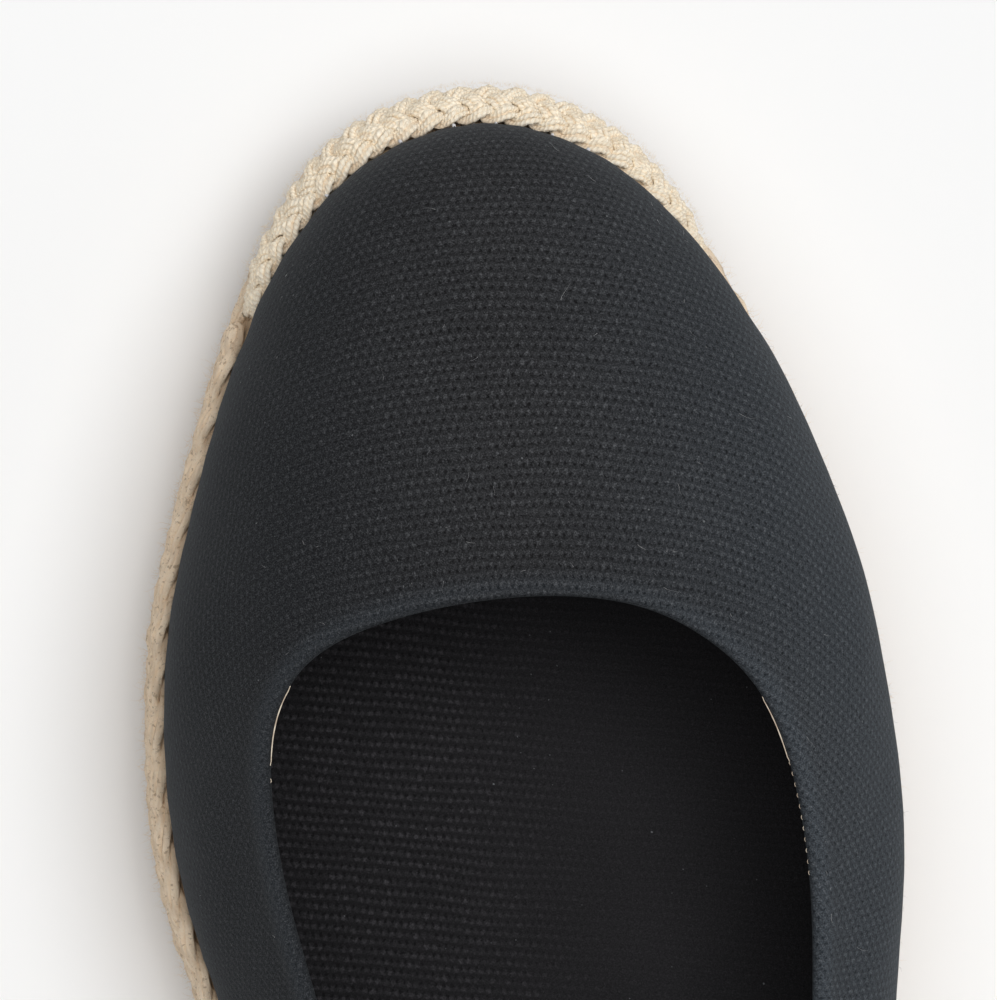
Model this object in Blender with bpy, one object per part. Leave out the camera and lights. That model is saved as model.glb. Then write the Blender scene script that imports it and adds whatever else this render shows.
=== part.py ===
"""Right-foot espadrille: rubber outsole, plaited jute sole, toe braid, canvas upper and insole.

Metres, +Z up, +Y from heel to toe, +X to the lateral (little toe) side.
Every piece is lofted round the shoe from the same rails. A place on a rail is its turn: 0 at the
tip of the toe, 0.5 at the back of the heel, 1 at the toe again, with the lateral side first.
"""

import math

import bpy
import numpy as np

# Sole
SOLE_LENGTH = 0.248
BALL_WIDTH = 0.090
BALL_HEIGHT = 0.0200
HEEL_HEIGHT = 0.0235
TOE_HEIGHT = 0.0185
TOE_SPRING = 0.0050
ARCH_HOLLOW = 0.0015
HEEL_ROLL = 0.0010

# Outsole
RUBBER_THICKNESS = 0.0030
RIM_RISE = 0.0016
RIM_WALL = 0.0010
RIM_INSET = 0.0008
RIM_ROUND = 0.0008

# Jute plaits on the side of the sole
PLAIT_DEPTH = 0.0016

# Toe braid
BRAID_WIDTH = 0.0082
BRAID_THICKNESS_AT_TIP = 0.0028
BRAID_THICKNESS_AT_END = 0.0018
BRAID_LEAN_AT_TIP = math.radians(62)
BRAID_LEAN_AT_END = math.radians(87)
BRAID_PROUD = 0.0003
BRAID_ABOVE_SOLE = 0.0016
BRAID_REACH = 0.0275
BRAID_END = 0.0030

# Upper
WALL = 0.0018
UPPER_INSET = 0.0018
THROAT_HEIGHT = 0.0570
COLLAR_HEIGHT = 0.0490
HEEL_TOP_HEIGHT = 0.0700

# Insole
INSOLE_THICKNESS = 0.0025
INSOLE_ROUND = 0.0006

# Clearances: between faces that follow each other, and between curves with unlike facets
GAP = 0.0003
SEAT_GAP = 0.0005

# Columns round the shoe, and rows up each surface
COLUMNS = 88
CROWDING = 0.45
UPPER_ROWS = 11
LIP_ROWS = 3
PLAIT_ROWS = 6
BRAID_STATIONS = 44
BRAID_SIDES = 12
FINE_STEPS = 60
SHARP_ANGLE = math.radians(50)

# Outline of the sole, as shares: along the sole's length from the heel, and out from the
# centre line as shares of the ball width, on the lateral and on the medial side
TOE_TIP_ACROSS_SHARE = -0.016
HEEL_BACK_ACROSS_SHARE = 0.022
SOLE_OUTLINE = (
    # along, lateral, medial
    (0.993, 0.082, -0.130),
    (0.972, 0.182, -0.228),
    (0.939, 0.254, -0.296),
    (0.896, 0.321, -0.355),
    (0.847, 0.386, -0.407),
    (0.794, 0.437, -0.453),
    (0.746, 0.473, -0.487),
    (0.698, 0.492, -0.501),
    (0.649, 0.500, -0.500),
    (0.601, 0.495, -0.480),
    (0.548, 0.474, -0.438),
    (0.464, 0.439, -0.378),
    (0.363, 0.394, -0.328),
    (0.262, 0.372, -0.317),
    (0.161, 0.372, -0.328),
    (0.081, 0.317, -0.272),
    (0.030, 0.206, -0.162),
)

# Collar seen from above, as the same shares, with its height between the named heights:
# lift 1 is the throat's or the heel top's height, 0 the height of the collar at the sides
THROAT_ALONG_SHARE = 0.747
THROAT_ACROSS_SHARE = -0.031
COLLAR_BACK_ALONG_SHARE = 0.030
COLLAR = (
    # along, lateral, medial, lift
    (0.741, 0.110, -0.186, 0.93),
    (0.725, 0.204, -0.306, 0.75),
    (0.700, 0.277, -0.364, 0.52),
    (0.663, 0.322, -0.381, 0.26),
    (0.610, 0.342, -0.367, 0.08),
    (0.548, 0.338, -0.330, 0.00),
    (0.430, 0.308, -0.277, 0.02),
    (0.300, 0.286, -0.250, 0.12),
    (0.180, 0.278, -0.240, 0.36),
    (0.090, 0.226, -0.186, 0.75),
    (0.045, 0.132, -0.090, 0.96),
)

# Form of the upper between feather edge and collar, one row for each section round the shoe.
# slip is how far the collar's turn runs ahead of the sole's; swell is how far the lower handle
# stands out, as a share of the ball width; rise and drop are the handles' heights above the
# feather edge and below the collar, as shares of the wall's height there; reach is how far the
# upper handle stands out from the collar, as a share of the way to the feather edge
UPPER_FORM = (
    # turn, slip, swell, rise, reach, drop
    (0.000, 0.000, 0.008, 0.62, 0.50, 0.16),
    (0.090, -0.038, 0.032, 0.58, 0.50, 0.16),
    (0.180, -0.066, 0.030, 0.50, 0.42, 0.20),
    (0.290, -0.028, 0.030, 0.42, 0.36, 0.30),
    (0.405, 0.004, 0.034, 0.36, 0.32, 0.40),
    (0.500, 0.000, 0.040, 0.36, 0.30, 0.40),
    (0.595, -0.004, 0.034, 0.36, 0.32, 0.40),
    (0.710, 0.028, 0.030, 0.42, 0.36, 0.30),
    (0.820, 0.066, 0.027, 0.50, 0.40, 0.22),
    (0.910, 0.038, 0.032, 0.58, 0.50, 0.16),
)

# Where the sole's bottom leaves the floor, as shares of its length
HEEL_ROLL_ENDS_SHARE = 0.070
ARCH_STARTS_SHARE = 0.270
ARCH_ENDS_SHARE = 0.600
SPRING_STARTS_SHARE = 0.770
SPRING_POWER = 1.8

# Where the sole grows thicker towards the heel and thinner towards the toe, as the same shares
HEEL_RISE_STARTS_SHARE = 0.62
HEEL_RISE_ENDS_SHARE = 0.20
TOE_THINS_FROM_SHARE = 0.70

# Where the recess for the toe braid runs out behind the braid's end
RECESS_FADE = 0.0070


class Loop:
    """A closed smooth curve through rows of values, one row at each rising knot."""

    def __init__(self, knots, rows, period):
        self.knots = np.append(knots, knots[0] + period)
        self.rows = np.vstack([rows, rows[:1]])
        spans = np.diff(self.knots)
        slopes = np.diff(self.rows, axis=0) / spans[:, None]
        count = len(knots)
        system = np.zeros((count, count))
        known = np.zeros((count, self.rows.shape[1]))
        for i in range(count):
            before, after = spans[i - 1], spans[i]
            system[i, i - 1] += after
            system[i, i] += 2 * (before + after)
            system[i, (i + 1) % count] += before
            known[i] = 3 * (after * slopes[i - 1] + before * slopes[i])
        tangents = np.linalg.solve(system, known)
        self.tangents = np.vstack([tangents, tangents[:1]])

    def at(self, places):
        """Rows of values at the places, which may lie beyond one period."""
        period = self.knots[-1] - self.knots[0]
        places = self.knots[0] + (np.asarray(places, dtype=float) - self.knots[0]) % period
        i = np.clip(np.searchsorted(self.knots, places, side="right") - 1, 0, len(self.knots) - 2)
        span = (self.knots[i + 1] - self.knots[i])[:, None]
        t = (places - self.knots[i])[:, None] / span
        return (
            (2 * t**3 - 3 * t**2 + 1) * self.rows[i]
            + (t**3 - 2 * t**2 + t) * span * self.tangents[i]
            + (3 * t**2 - 2 * t**3) * self.rows[i + 1]
            + (t**3 - t**2) * span * self.tangents[i + 1]
        )


class Rail:
    """A closed curve round the shoe, read by turn in even steps of its length on each side."""

    def __init__(self, points, back):
        points = np.array(points, dtype=float)
        chords = np.linalg.norm(np.roll(points, -1, axis=0) - points, axis=1)
        knots = np.concatenate([[0.0], np.cumsum(np.sqrt(chords))])
        loop = Loop(knots[:-1], points, knots[-1])
        steps = len(points) * FINE_STEPS
        places = np.interp(np.arange(steps + 1) / FINE_STEPS, np.arange(len(knots)), knots)
        self.points = loop.at(places)
        self.points[-1] = self.points[0]
        edges = np.linalg.norm(np.diff(self.points, axis=0), axis=1)
        self.lengths = np.concatenate([[0.0], np.cumsum(edges)])
        self.half = self.lengths[back * FINE_STEPS]
        ahead = np.roll(self.points[:-1], -1, axis=0)
        behind = np.roll(self.points[:-1], 1, axis=0)
        along = (ahead - behind)[:, :2]
        along /= np.linalg.norm(along, axis=1)[:, None]
        normals = np.column_stack([-along[:, 1], along[:, 0]])
        self.normals = np.vstack([normals, normals[:1]])

    def read(self, values, turns):
        """The values, which are given along the rail, at these turns."""
        turns = np.asarray(turns) % 1.0
        whole = self.lengths[-1]
        first = 2 * turns * self.half
        second = self.half + (2 * turns - 1) * (whole - self.half)
        lengths = np.where(turns <= 0.5, first, second)
        return np.column_stack([np.interp(lengths, self.lengths, column) for column in values.T])

    def at(self, turns):
        return self.read(self.points, turns)

    def outward(self, turns):
        normals = self.read(self.normals, turns)
        return normals / np.linalg.norm(normals, axis=1)[:, None]


def smooth(x):
    """Soft step from 0 to 1."""
    x = np.clip(x, 0.0, 1.0)
    return x * x * (3 - 2 * x)


def bottom_height(y):
    """Height of the sole's underside above the floor: it touches at heel and forefoot."""
    share = np.asarray(y) / SOLE_LENGTH
    heel = HEEL_ROLL * np.clip((HEEL_ROLL_ENDS_SHARE - share) / HEEL_ROLL_ENDS_SHARE, 0, None) ** 2
    arch_run = ARCH_ENDS_SHARE - ARCH_STARTS_SHARE
    arch_share = np.clip((share - ARCH_STARTS_SHARE) / arch_run, 0, 1)
    in_arch = (arch_share > 0) & (arch_share < 1)
    arch = np.where(in_arch, ARCH_HOLLOW * np.sin(math.pi * arch_share) ** 2, 0.0)
    toe_share = np.clip((share - SPRING_STARTS_SHARE) / (1 - SPRING_STARTS_SHARE), 0, None)
    return heel + arch + TOE_SPRING * toe_share**SPRING_POWER


def top_height(y):
    """Height of the jute's upper face, where the upper and the insole stand."""
    share = np.asarray(y) / SOLE_LENGTH
    rise_run = HEEL_RISE_STARTS_SHARE - HEEL_RISE_ENDS_SHARE
    to_heel = smooth((HEEL_RISE_STARTS_SHARE - share) / rise_run)
    to_toe = smooth((share - TOE_THINS_FROM_SHARE) / (1 - TOE_THINS_FROM_SHARE))
    thickness = BALL_HEIGHT + (HEEL_HEIGHT - BALL_HEIGHT) * to_heel
    thickness = thickness + (TOE_HEIGHT - BALL_HEIGHT) * to_toe
    return bottom_height(y) + thickness


def sole_rail():
    """Outermost line of the sole, flat on the floor plane."""
    tip = (TOE_TIP_ACROSS_SHARE * BALL_WIDTH, SOLE_LENGTH, 0.0)
    back = (HEEL_BACK_ACROSS_SHARE * BALL_WIDTH, 0.0, 0.0)
    lateral = [(out * BALL_WIDTH, along * SOLE_LENGTH, 0.0) for along, out, _ in SOLE_OUTLINE]
    medial = [(out * BALL_WIDTH, along * SOLE_LENGTH, 0.0) for along, _, out in SOLE_OUTLINE]
    return Rail([tip, *lateral, back, *reversed(medial)], len(lateral) + 1)


def collar_rail():
    """Top edge of the upper, with its heights."""
    lateral, medial = [], []
    for along, lateral_out, medial_out, lift in COLLAR:
        crest = THROAT_HEIGHT if along > 0.5 else HEEL_TOP_HEIGHT
        height = COLLAR_HEIGHT + lift * (crest - COLLAR_HEIGHT)
        lateral.append((lateral_out * BALL_WIDTH, along * SOLE_LENGTH, height))
        medial.append((medial_out * BALL_WIDTH, along * SOLE_LENGTH, height))
    tip = (THROAT_ACROSS_SHARE * BALL_WIDTH, THROAT_ALONG_SHARE * SOLE_LENGTH, THROAT_HEIGHT)
    back = (HEEL_BACK_ACROSS_SHARE * BALL_WIDTH, COLLAR_BACK_ALONG_SHARE * SOLE_LENGTH, HEEL_TOP_HEIGHT)
    return Rail([tip, *lateral, back, *reversed(medial)], len(lateral) + 1)


SOLE = sole_rail()
COLLAR_EDGE = collar_rail()
FORM_TABLE = np.array(UPPER_FORM)
FORM = Loop(FORM_TABLE[:, 0], FORM_TABLE[:, 1:], 1.0)


def column_turns():
    """Turns of the columns round the shoe, closer together at toe and heel."""
    even = np.arange(COLUMNS) / COLUMNS
    return even - CROWDING * np.sin(4 * math.pi * even) / (4 * math.pi)


def ring(turns, inset, height):
    """Points inset from the sole's outline, at the height that height(y) gives."""
    inset = np.broadcast_to(inset, len(turns))
    plan = SOLE.at(turns)[:, :2] - inset[:, None] * SOLE.outward(turns)
    return np.column_stack([plan, height(plan[:, 1])])


def braid_zone(turns):
    """1 along the toe where the jute makes room for the braid, fading to 0 behind its ends."""
    behind_tip = SOLE_LENGTH - SOLE.at(turns)[:, 1]
    return 1 - smooth((behind_tip - BRAID_REACH - GAP) / RECESS_FADE)


def braid_frame(turns):
    """Centres of the braid's sections as inset and height above the jute, and their half axes.

    At the tip it leans back over the sole's edge; at its ends it is thin and almost upright."""
    behind_tip = SOLE_LENGTH - SOLE.at(turns)[:, 1]
    to_end = smooth(behind_tip / BRAID_REACH)[:, None]
    lean = BRAID_LEAN_AT_TIP + (BRAID_LEAN_AT_END - BRAID_LEAN_AT_TIP) * to_end
    thick = BRAID_THICKNESS_AT_TIP + (BRAID_THICKNESS_AT_END - BRAID_THICKNESS_AT_TIP) * to_end
    up = BRAID_WIDTH / 2 * np.column_stack([np.cos(lean), np.sin(lean)])
    inward = thick / 2 * np.column_stack([np.sin(lean), -np.cos(lean)])
    extent = np.hypot(up, inward)
    centre = np.column_stack([extent[:, 0] - BRAID_PROUD, BRAID_ABOVE_SOLE - extent[:, 1]])
    return centre, up, inward


def recess_line(turns, height):
    """Insets of the sloping face behind the braid, at a height above (or below) the jute's top."""
    centre, up, inward = braid_frame(turns)
    foot = centre + inward * (1 + SEAT_GAP / np.linalg.norm(inward, axis=1)[:, None])
    return foot[:, 0] + (height - foot[:, 1]) * up[:, 0] / up[:, 1]


def upper_inset(turns):
    """How far the upper's foot stands in from the sole's outline: behind the braid at the toe."""
    behind_braid = recess_line(turns, 0.0)
    return UPPER_INSET + (behind_braid - UPPER_INSET) * braid_zone(turns)


def make_object(name, vertices, faces, material):
    """One closed solid, smooth shaded, linked into the shoe's collection."""
    mesh = bpy.data.meshes.new(name)
    mesh.from_pydata([tuple(v) for v in vertices], [], faces)
    mesh.validate()
    mesh.shade_smooth()
    mesh.set_sharp_from_angle(angle=SHARP_ANGLE)
    mesh.materials.append(material)
    piece = bpy.data.objects.new(name, mesh)
    collection.objects.link(piece)
    piece.parent = stand
    return piece


def make_material(name, color, roughness):
    material = bpy.data.materials.new(name)
    material.use_nodes = True
    shader = material.node_tree.nodes["Principled BSDF"]
    shader.inputs["Base Color"].default_value = (*color, 1.0)
    shader.inputs["Roughness"].default_value = roughness
    shader.inputs["Metallic"].default_value = 0.0
    return material


def ring_faces(rings, columns):
    """Quads between neighbouring rings, each a closed run of columns, facing outward when the
    rings run from the top of the outside downward."""
    faces = []
    for row in range(rings - 1):
        for column in range(columns):
            after = (column + 1) % columns
            top, low = row * columns, (row + 1) * columns
            faces.append((top + column, top + after, low + after, low + column))
    return faces


def ladder_faces(start, columns, upward):
    """Cap over one ring: rungs from the lateral to the medial side, from toe to heel."""
    faces = []
    half = columns // 2
    for step in range(half):
        lateral, medial = start + step, start + (columns - step) % columns
        lateral_next, medial_next = start + step + 1, start + columns - step - 1
        face = [lateral, medial, medial_next, lateral_next]
        face = [v for i, v in enumerate(face) if v not in face[:i]]
        faces.append(tuple(face if upward else reversed(face)))
    return faces


def lofted_slab(name, rings, material):
    """A solid from its rings, from the top face's edge down to the bottom face's edge."""
    columns = len(rings[0])
    faces = ring_faces(len(rings), columns)
    faces += ladder_faces(0, columns, True)
    faces += ladder_faces((len(rings) - 1) * columns, columns, False)
    return make_object(name, np.vstack(rings), faces, material)


def build_outsole(turns):
    """Rubber slab with a low rim that laps up round the foot of the jute."""
    floor = bottom_height

    def above(rise):
        return lambda y: floor(y) + rise

    rim_top = RUBBER_THICKNESS + RIM_RISE
    inner = RIM_INSET + RIM_WALL
    corner = RIM_ROUND * (1 - math.sqrt(0.5))
    rings = [
        ring(turns, inner, above(RUBBER_THICKNESS)),
        ring(turns, inner, above(rim_top)),
        ring(turns, RIM_INSET, above(rim_top)),
        ring(turns, RIM_INSET, above(RIM_ROUND)),
        ring(turns, RIM_INSET + corner, above(corner)),
        ring(turns, RIM_INSET + RIM_ROUND, above(0.0)),
    ]
    return lofted_slab("rubber_outsole", rings, rubber)


def build_jute_sole(turns):
    """Jute body with two plaits round its side, and a sloping seat for the braid at the toe."""
    zone = braid_zone(turns)
    foot = RUBBER_THICKNESS + GAP
    foot_inset = RIM_INSET + RIM_WALL + GAP
    plaits_start = foot + RIM_RISE

    def level(share):
        """Height of a share of the way up the two plaits."""
        return lambda y: (
            bottom_height(y)
            + plaits_start
            + share * (top_height(y) - bottom_height(y) - plaits_start)
        )

    rings = []
    ball_plait = (BALL_HEIGHT - plaits_start) / 2
    for row in range(PLAIT_ROWS + 1):
        angle = math.pi * row / PLAIT_ROWS
        down = (1 - math.cos(angle)) / 2
        inset = PLAIT_DEPTH * (1 - math.sin(angle))
        seat = np.maximum(recess_line(turns, -down * ball_plait), inset)
        seat = seat if row < PLAIT_ROWS else inset
        rings.append(ring(turns, inset + (seat - inset) * zone, level(1 - down / 2)))
    for row in range(1, PLAIT_ROWS + 1):
        angle = math.pi * row / PLAIT_ROWS
        down = (1 - math.cos(angle)) / 2
        inset = PLAIT_DEPTH * (1 - math.sin(angle))
        inset = inset if row < PLAIT_ROWS else foot_inset
        rings.append(ring(turns, inset, level(0.5 - down / 2)))
    rings.append(ring(turns, foot_inset, lambda y: bottom_height(y) + foot))
    return lofted_slab("jute_sole", rings, jute)


def build_braid():
    """Rounded strip round the toe, seated on the jute's sloping face and tapered at both ends."""
    ends = []
    search = np.linspace(0.0, 0.5, 400)
    for side in (1 - search, search):
        behind_tip = SOLE_LENGTH - SOLE.at(side)[:, 1]
        ends.append(np.interp(BRAID_REACH, behind_tip, search))
    # A smooth run of stations, closer together towards both rounded ends
    phase = np.linspace(0.0, math.pi, BRAID_STATIONS)
    run = (1 - np.cos(phase)) / 2
    turns = -ends[0] + run * (ends[0] + ends[1])
    points = SOLE.at(turns)[:, :2]
    steps = np.linalg.norm(np.diff(points, axis=0), axis=1)
    length = np.concatenate([[0.0], np.cumsum(steps)])
    to_end = np.minimum(length, length[-1] - length)
    taper = np.sqrt(1 - (1 - np.clip(to_end / BRAID_END, 0.02, 1.0)) ** 2)

    centre, up, inward = braid_frame(turns)
    rows = []
    for side in range(BRAID_SIDES):
        angle = 2 * math.pi * side / BRAID_SIDES
        offset = centre + taper[:, None] * (math.cos(angle) * up + math.sin(angle) * inward)
        row = ring(turns, offset[:, 0], top_height)
        row[:, 2] += offset[:, 1]
        rows.append(row)
    vertices = np.stack(rows, axis=1).reshape(-1, 3)
    faces = []
    for station in range(BRAID_STATIONS - 1):
        for side in range(BRAID_SIDES):
            after = (side + 1) % BRAID_SIDES
            near, far = station * BRAID_SIDES, (station + 1) * BRAID_SIDES
            faces.append((near + side, near + after, far + after, far + side))
    last = (BRAID_STATIONS - 1) * BRAID_SIDES
    faces.append(tuple(reversed(range(BRAID_SIDES))))
    faces.append(tuple(range(last, last + BRAID_SIDES)))
    return make_object("toe_braid", vertices, faces, cotton)


def upper_surface(turns, rows):
    """Outer face of the upper as rows by columns, from the feather edge up to the collar."""
    slip, swell, rise, reach, drop = FORM.at(turns).T[:, :, None]
    foot = ring(turns, upper_inset(turns), lambda y: top_height(y) + GAP)
    collar = COLLAR_EDGE.at(np.asarray(turns) + slip[:, 0])
    height = (collar[:, 2] - foot[:, 2])[:, None]
    plan = (foot - collar)[:, :2]
    distance = np.linalg.norm(plan, axis=1)[:, None]
    out = np.column_stack([plan / distance, np.zeros(len(turns))])
    up = np.array([[0.0, 0.0, 1.0]])
    low = foot + swell * BALL_WIDTH * out + rise * height * up
    high = collar + reach * distance * out - drop * height * up
    t = np.linspace(0.0, 1.0, rows)[:, None, None]
    return (
        (1 - t) ** 3 * foot
        + 3 * (1 - t) ** 2 * t * low
        + 3 * (1 - t) * t**2 * high
        + t**3 * collar
    )


def surface_normals(grid):
    """Outward normals of a grid of rows by columns that closes round its columns."""
    around = np.roll(grid, -1, axis=1) - np.roll(grid, 1, axis=1)
    upward = np.gradient(grid, axis=0)
    normals = np.cross(upward, around)
    return normals / np.linalg.norm(normals, axis=2)[:, :, None]


def build_upper(turns):
    """One hollow shell with a rounded lip at the collar, open above and underneath."""
    outer = upper_surface(turns, UPPER_ROWS)
    normals = surface_normals(outer)
    level = normals[0].copy()
    level[:, 2] = 0.0
    normals[0] = level / np.linalg.norm(level, axis=1)[:, None]
    inner = outer - WALL * normals
    tangent = outer[-1] - outer[-2]
    tangent /= np.linalg.norm(tangent, axis=1)[:, None]
    middle = (outer[-1] + inner[-1]) / 2
    lip = []
    for row in range(1, LIP_ROWS + 1):
        angle = math.pi * row / (LIP_ROWS + 1)
        lip.append(middle + WALL / 2 * (math.cos(angle) * normals[-1] + math.sin(angle) * tangent))
    rings = [*inner, *reversed(lip), *reversed(outer)]
    columns = len(turns)
    faces = ring_faces(len(rings), columns)
    last = (len(rings) - 1) * columns
    for column in range(columns):
        after = (column + 1) % columns
        faces.append((last + column, last + after, after, column))
    return make_object("upper", np.vstack(rings), faces, canvas)


def build_insole(turns):
    """Covered footbed on the jute, just inside the foot of the upper."""
    inset = upper_inset(turns) + WALL + SEAT_GAP

    def above(rise):
        return lambda y: top_height(y) + GAP + rise

    rings = [
        ring(turns, inset + INSOLE_ROUND, above(INSOLE_THICKNESS)),
        ring(turns, inset, above(INSOLE_THICKNESS - INSOLE_ROUND)),
        ring(turns, inset, above(0.0)),
    ]
    return lofted_slab("insole", rings, lining)


def centre_on_origin(pieces):
    """Moves the stand so that the middle of the shoe's footprint lies on the origin."""
    corners = np.array([v.co for piece in pieces for v in piece.data.vertices])
    low, high = corners.min(axis=0), corners.max(axis=0)
    stand.location = (-(low[0] + high[0]) / 2, -(low[1] + high[1]) / 2, -low[2])


for old in list(bpy.data.objects):
    bpy.data.objects.remove(old, do_unlink=True)

collection = bpy.data.collections.new("espadrille")
bpy.context.scene.collection.children.link(collection)
stand = bpy.data.objects.new("stand", None)
collection.objects.link(stand)

rubber = make_material("natural_rubber", (0.47, 0.33, 0.20), 0.72)
jute = make_material("jute_fibre", (0.69, 0.53, 0.37), 0.90)
cotton = make_material("cotton_cord", (0.76, 0.64, 0.47), 0.85)
canvas = make_material("black_canvas", (0.022, 0.024, 0.028), 0.88)
lining = make_material("black_lining", (0.016, 0.016, 0.018), 0.92)

turns = column_turns()
centre_on_origin([
    build_outsole(turns),
    build_jute_sole(turns),
    build_braid(),
    build_upper(turns),
    build_insole(turns),
])
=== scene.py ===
"""Looks of a right-foot espadrille: canvas, plaits, threads, rubber, floor, light and camera.

Metres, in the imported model's frame: +Z up, +Y from heel to toe, +X to the lateral side. Forms are
lofted round the shoe as in the model. A place round the shoe is its turn: 0 at the tip of the toe,
0.5 at the back of the heel, 1 at the toe again, with the lateral side first.
"""

import math

import bpy
import numpy as np
from mathutils import Matrix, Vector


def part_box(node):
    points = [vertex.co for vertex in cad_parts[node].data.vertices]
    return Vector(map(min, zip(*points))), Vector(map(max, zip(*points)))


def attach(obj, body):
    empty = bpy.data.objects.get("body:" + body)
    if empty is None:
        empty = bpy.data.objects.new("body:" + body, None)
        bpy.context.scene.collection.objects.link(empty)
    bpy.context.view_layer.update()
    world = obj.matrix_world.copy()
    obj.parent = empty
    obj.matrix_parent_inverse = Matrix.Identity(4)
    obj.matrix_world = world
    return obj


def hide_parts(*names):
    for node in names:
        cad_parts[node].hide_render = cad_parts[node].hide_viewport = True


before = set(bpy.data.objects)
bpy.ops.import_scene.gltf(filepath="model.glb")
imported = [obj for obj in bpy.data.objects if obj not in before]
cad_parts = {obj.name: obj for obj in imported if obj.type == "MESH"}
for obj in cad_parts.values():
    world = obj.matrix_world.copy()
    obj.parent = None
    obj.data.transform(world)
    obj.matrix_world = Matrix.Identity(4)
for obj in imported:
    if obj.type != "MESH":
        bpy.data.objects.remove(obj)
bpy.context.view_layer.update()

# Sizes of the model that the forms follow
SOLE_LENGTH = 0.248
BALL_WIDTH = 0.090
BALL_HEIGHT = 0.0200
HEEL_HEIGHT = 0.0235
TOE_HEIGHT = 0.0185
TOE_SPRING = 0.0050
ARCH_HOLLOW = 0.0015
HEEL_ROLL = 0.0010
RUBBER_THICKNESS = 0.0030
RIM_RISE = 0.0016
RIM_WALL = 0.0010
RIM_INSET = 0.0008
RIM_ROUND = 0.0008
PLAIT_DEPTH = 0.0016
BRAID_WIDTH = 0.0082
BRAID_THICKNESS_AT_TIP = 0.0028
BRAID_THICKNESS_AT_END = 0.0018
BRAID_LEAN_AT_TIP = math.radians(62)
BRAID_LEAN_AT_END = math.radians(87)
BRAID_PROUD = 0.0003
BRAID_ABOVE_SOLE = 0.0016
BRAID_REACH = 0.0275
WALL = 0.0018
UPPER_INSET = 0.0018
THROAT_HEIGHT = 0.0570
COLLAR_HEIGHT = 0.0490
HEEL_TOP_HEIGHT = 0.0700
INSOLE_THICKNESS = 0.0025
GAP = 0.0003
SEAT_GAP = 0.0005
RECESS_FADE = 0.0070
CROWDING = 0.45
FINE_STEPS = 60

# Outline of the sole, collar and upper, as shares of the sizes above
TOE_TIP_ACROSS_SHARE = -0.016
HEEL_BACK_ACROSS_SHARE = 0.022
SOLE_OUTLINE = (
    # along, lateral, medial
    (0.993, 0.082, -0.130),
    (0.972, 0.182, -0.228),
    (0.939, 0.254, -0.296),
    (0.896, 0.321, -0.355),
    (0.847, 0.386, -0.407),
    (0.794, 0.437, -0.453),
    (0.746, 0.473, -0.487),
    (0.698, 0.492, -0.501),
    (0.649, 0.500, -0.500),
    (0.601, 0.495, -0.480),
    (0.548, 0.474, -0.438),
    (0.464, 0.439, -0.378),
    (0.363, 0.394, -0.328),
    (0.262, 0.372, -0.317),
    (0.161, 0.372, -0.328),
    (0.081, 0.317, -0.272),
    (0.030, 0.206, -0.162),
)
THROAT_ALONG_SHARE = 0.747
THROAT_ACROSS_SHARE = -0.031
COLLAR_BACK_ALONG_SHARE = 0.030
COLLAR = (
    # along, lateral, medial, lift
    (0.741, 0.110, -0.186, 0.93),
    (0.725, 0.204, -0.306, 0.75),
    (0.700, 0.277, -0.364, 0.52),
    (0.663, 0.322, -0.381, 0.26),
    (0.610, 0.342, -0.367, 0.08),
    (0.548, 0.338, -0.330, 0.00),
    (0.430, 0.308, -0.277, 0.02),
    (0.300, 0.286, -0.250, 0.12),
    (0.180, 0.278, -0.240, 0.36),
    (0.090, 0.226, -0.186, 0.75),
    (0.045, 0.132, -0.090, 0.96),
)
UPPER_FORM = (
    # turn, slip, swell, rise, reach, drop
    (0.000, 0.000, 0.008, 0.62, 0.50, 0.16),
    (0.090, -0.038, 0.032, 0.58, 0.50, 0.16),
    (0.180, -0.066, 0.030, 0.50, 0.42, 0.20),
    (0.290, -0.028, 0.030, 0.42, 0.36, 0.30),
    (0.405, 0.004, 0.034, 0.36, 0.32, 0.40),
    (0.500, 0.000, 0.040, 0.36, 0.30, 0.40),
    (0.595, -0.004, 0.034, 0.36, 0.32, 0.40),
    (0.710, 0.028, 0.030, 0.42, 0.36, 0.30),
    (0.820, 0.066, 0.027, 0.50, 0.40, 0.22),
    (0.910, 0.038, 0.032, 0.58, 0.50, 0.16),
)
HEEL_ROLL_ENDS_SHARE = 0.070
ARCH_STARTS_SHARE = 0.270
ARCH_ENDS_SHARE = 0.600
SPRING_STARTS_SHARE = 0.770
SPRING_POWER = 1.8
HEEL_RISE_STARTS_SHARE = 0.62
HEEL_RISE_ENDS_SHARE = 0.20
TOE_THINS_FROM_SHARE = 0.70

# Fineness of the visible meshes
CANVAS_COLUMNS = 560
CANVAS_ROWS = 84
LIP_ROWS = 9
LINING_ROWS = 40
SOLE_COLUMNS = 360
FLAT_COLUMNS = 200
FLAT_ROWS = 18

# Weave of the canvas and of the insole cloth: pitch of the beads along a row, and of the rows
CANVAS_BEAD = 0.00102
CANVAS_ROW = 0.00118
INSOLE_BEAD = 0.00095
INSOLE_ROW = 0.00118
INSOLE_WEAVE_TURN = math.radians(-8)

# Cloth that goes round the rolled lip at the collar, in the weave's map
LIP_LENGTH = 1.57 * WALL

# Camera, from the photo: tilts off the vertical towards the toe and the medial side, roll, the
# point that it looks at, measured from the back of the heel, and the picture's scale there
CAMERA_TILT_TOE = math.radians(-3.5)
CAMERA_TILT_MEDIAL = math.radians(4.86)
CAMERA_ROLL = math.radians(-3.5)
CAMERA_TARGET = (-0.0026, 0.1972, 0.0300)
CAMERA_DISTANCE = 0.900
PIXELS_PER_METRE = 8416.0
PICTURE_HEIGHT = 1000.0
SENSOR_MM = 36.0

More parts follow.
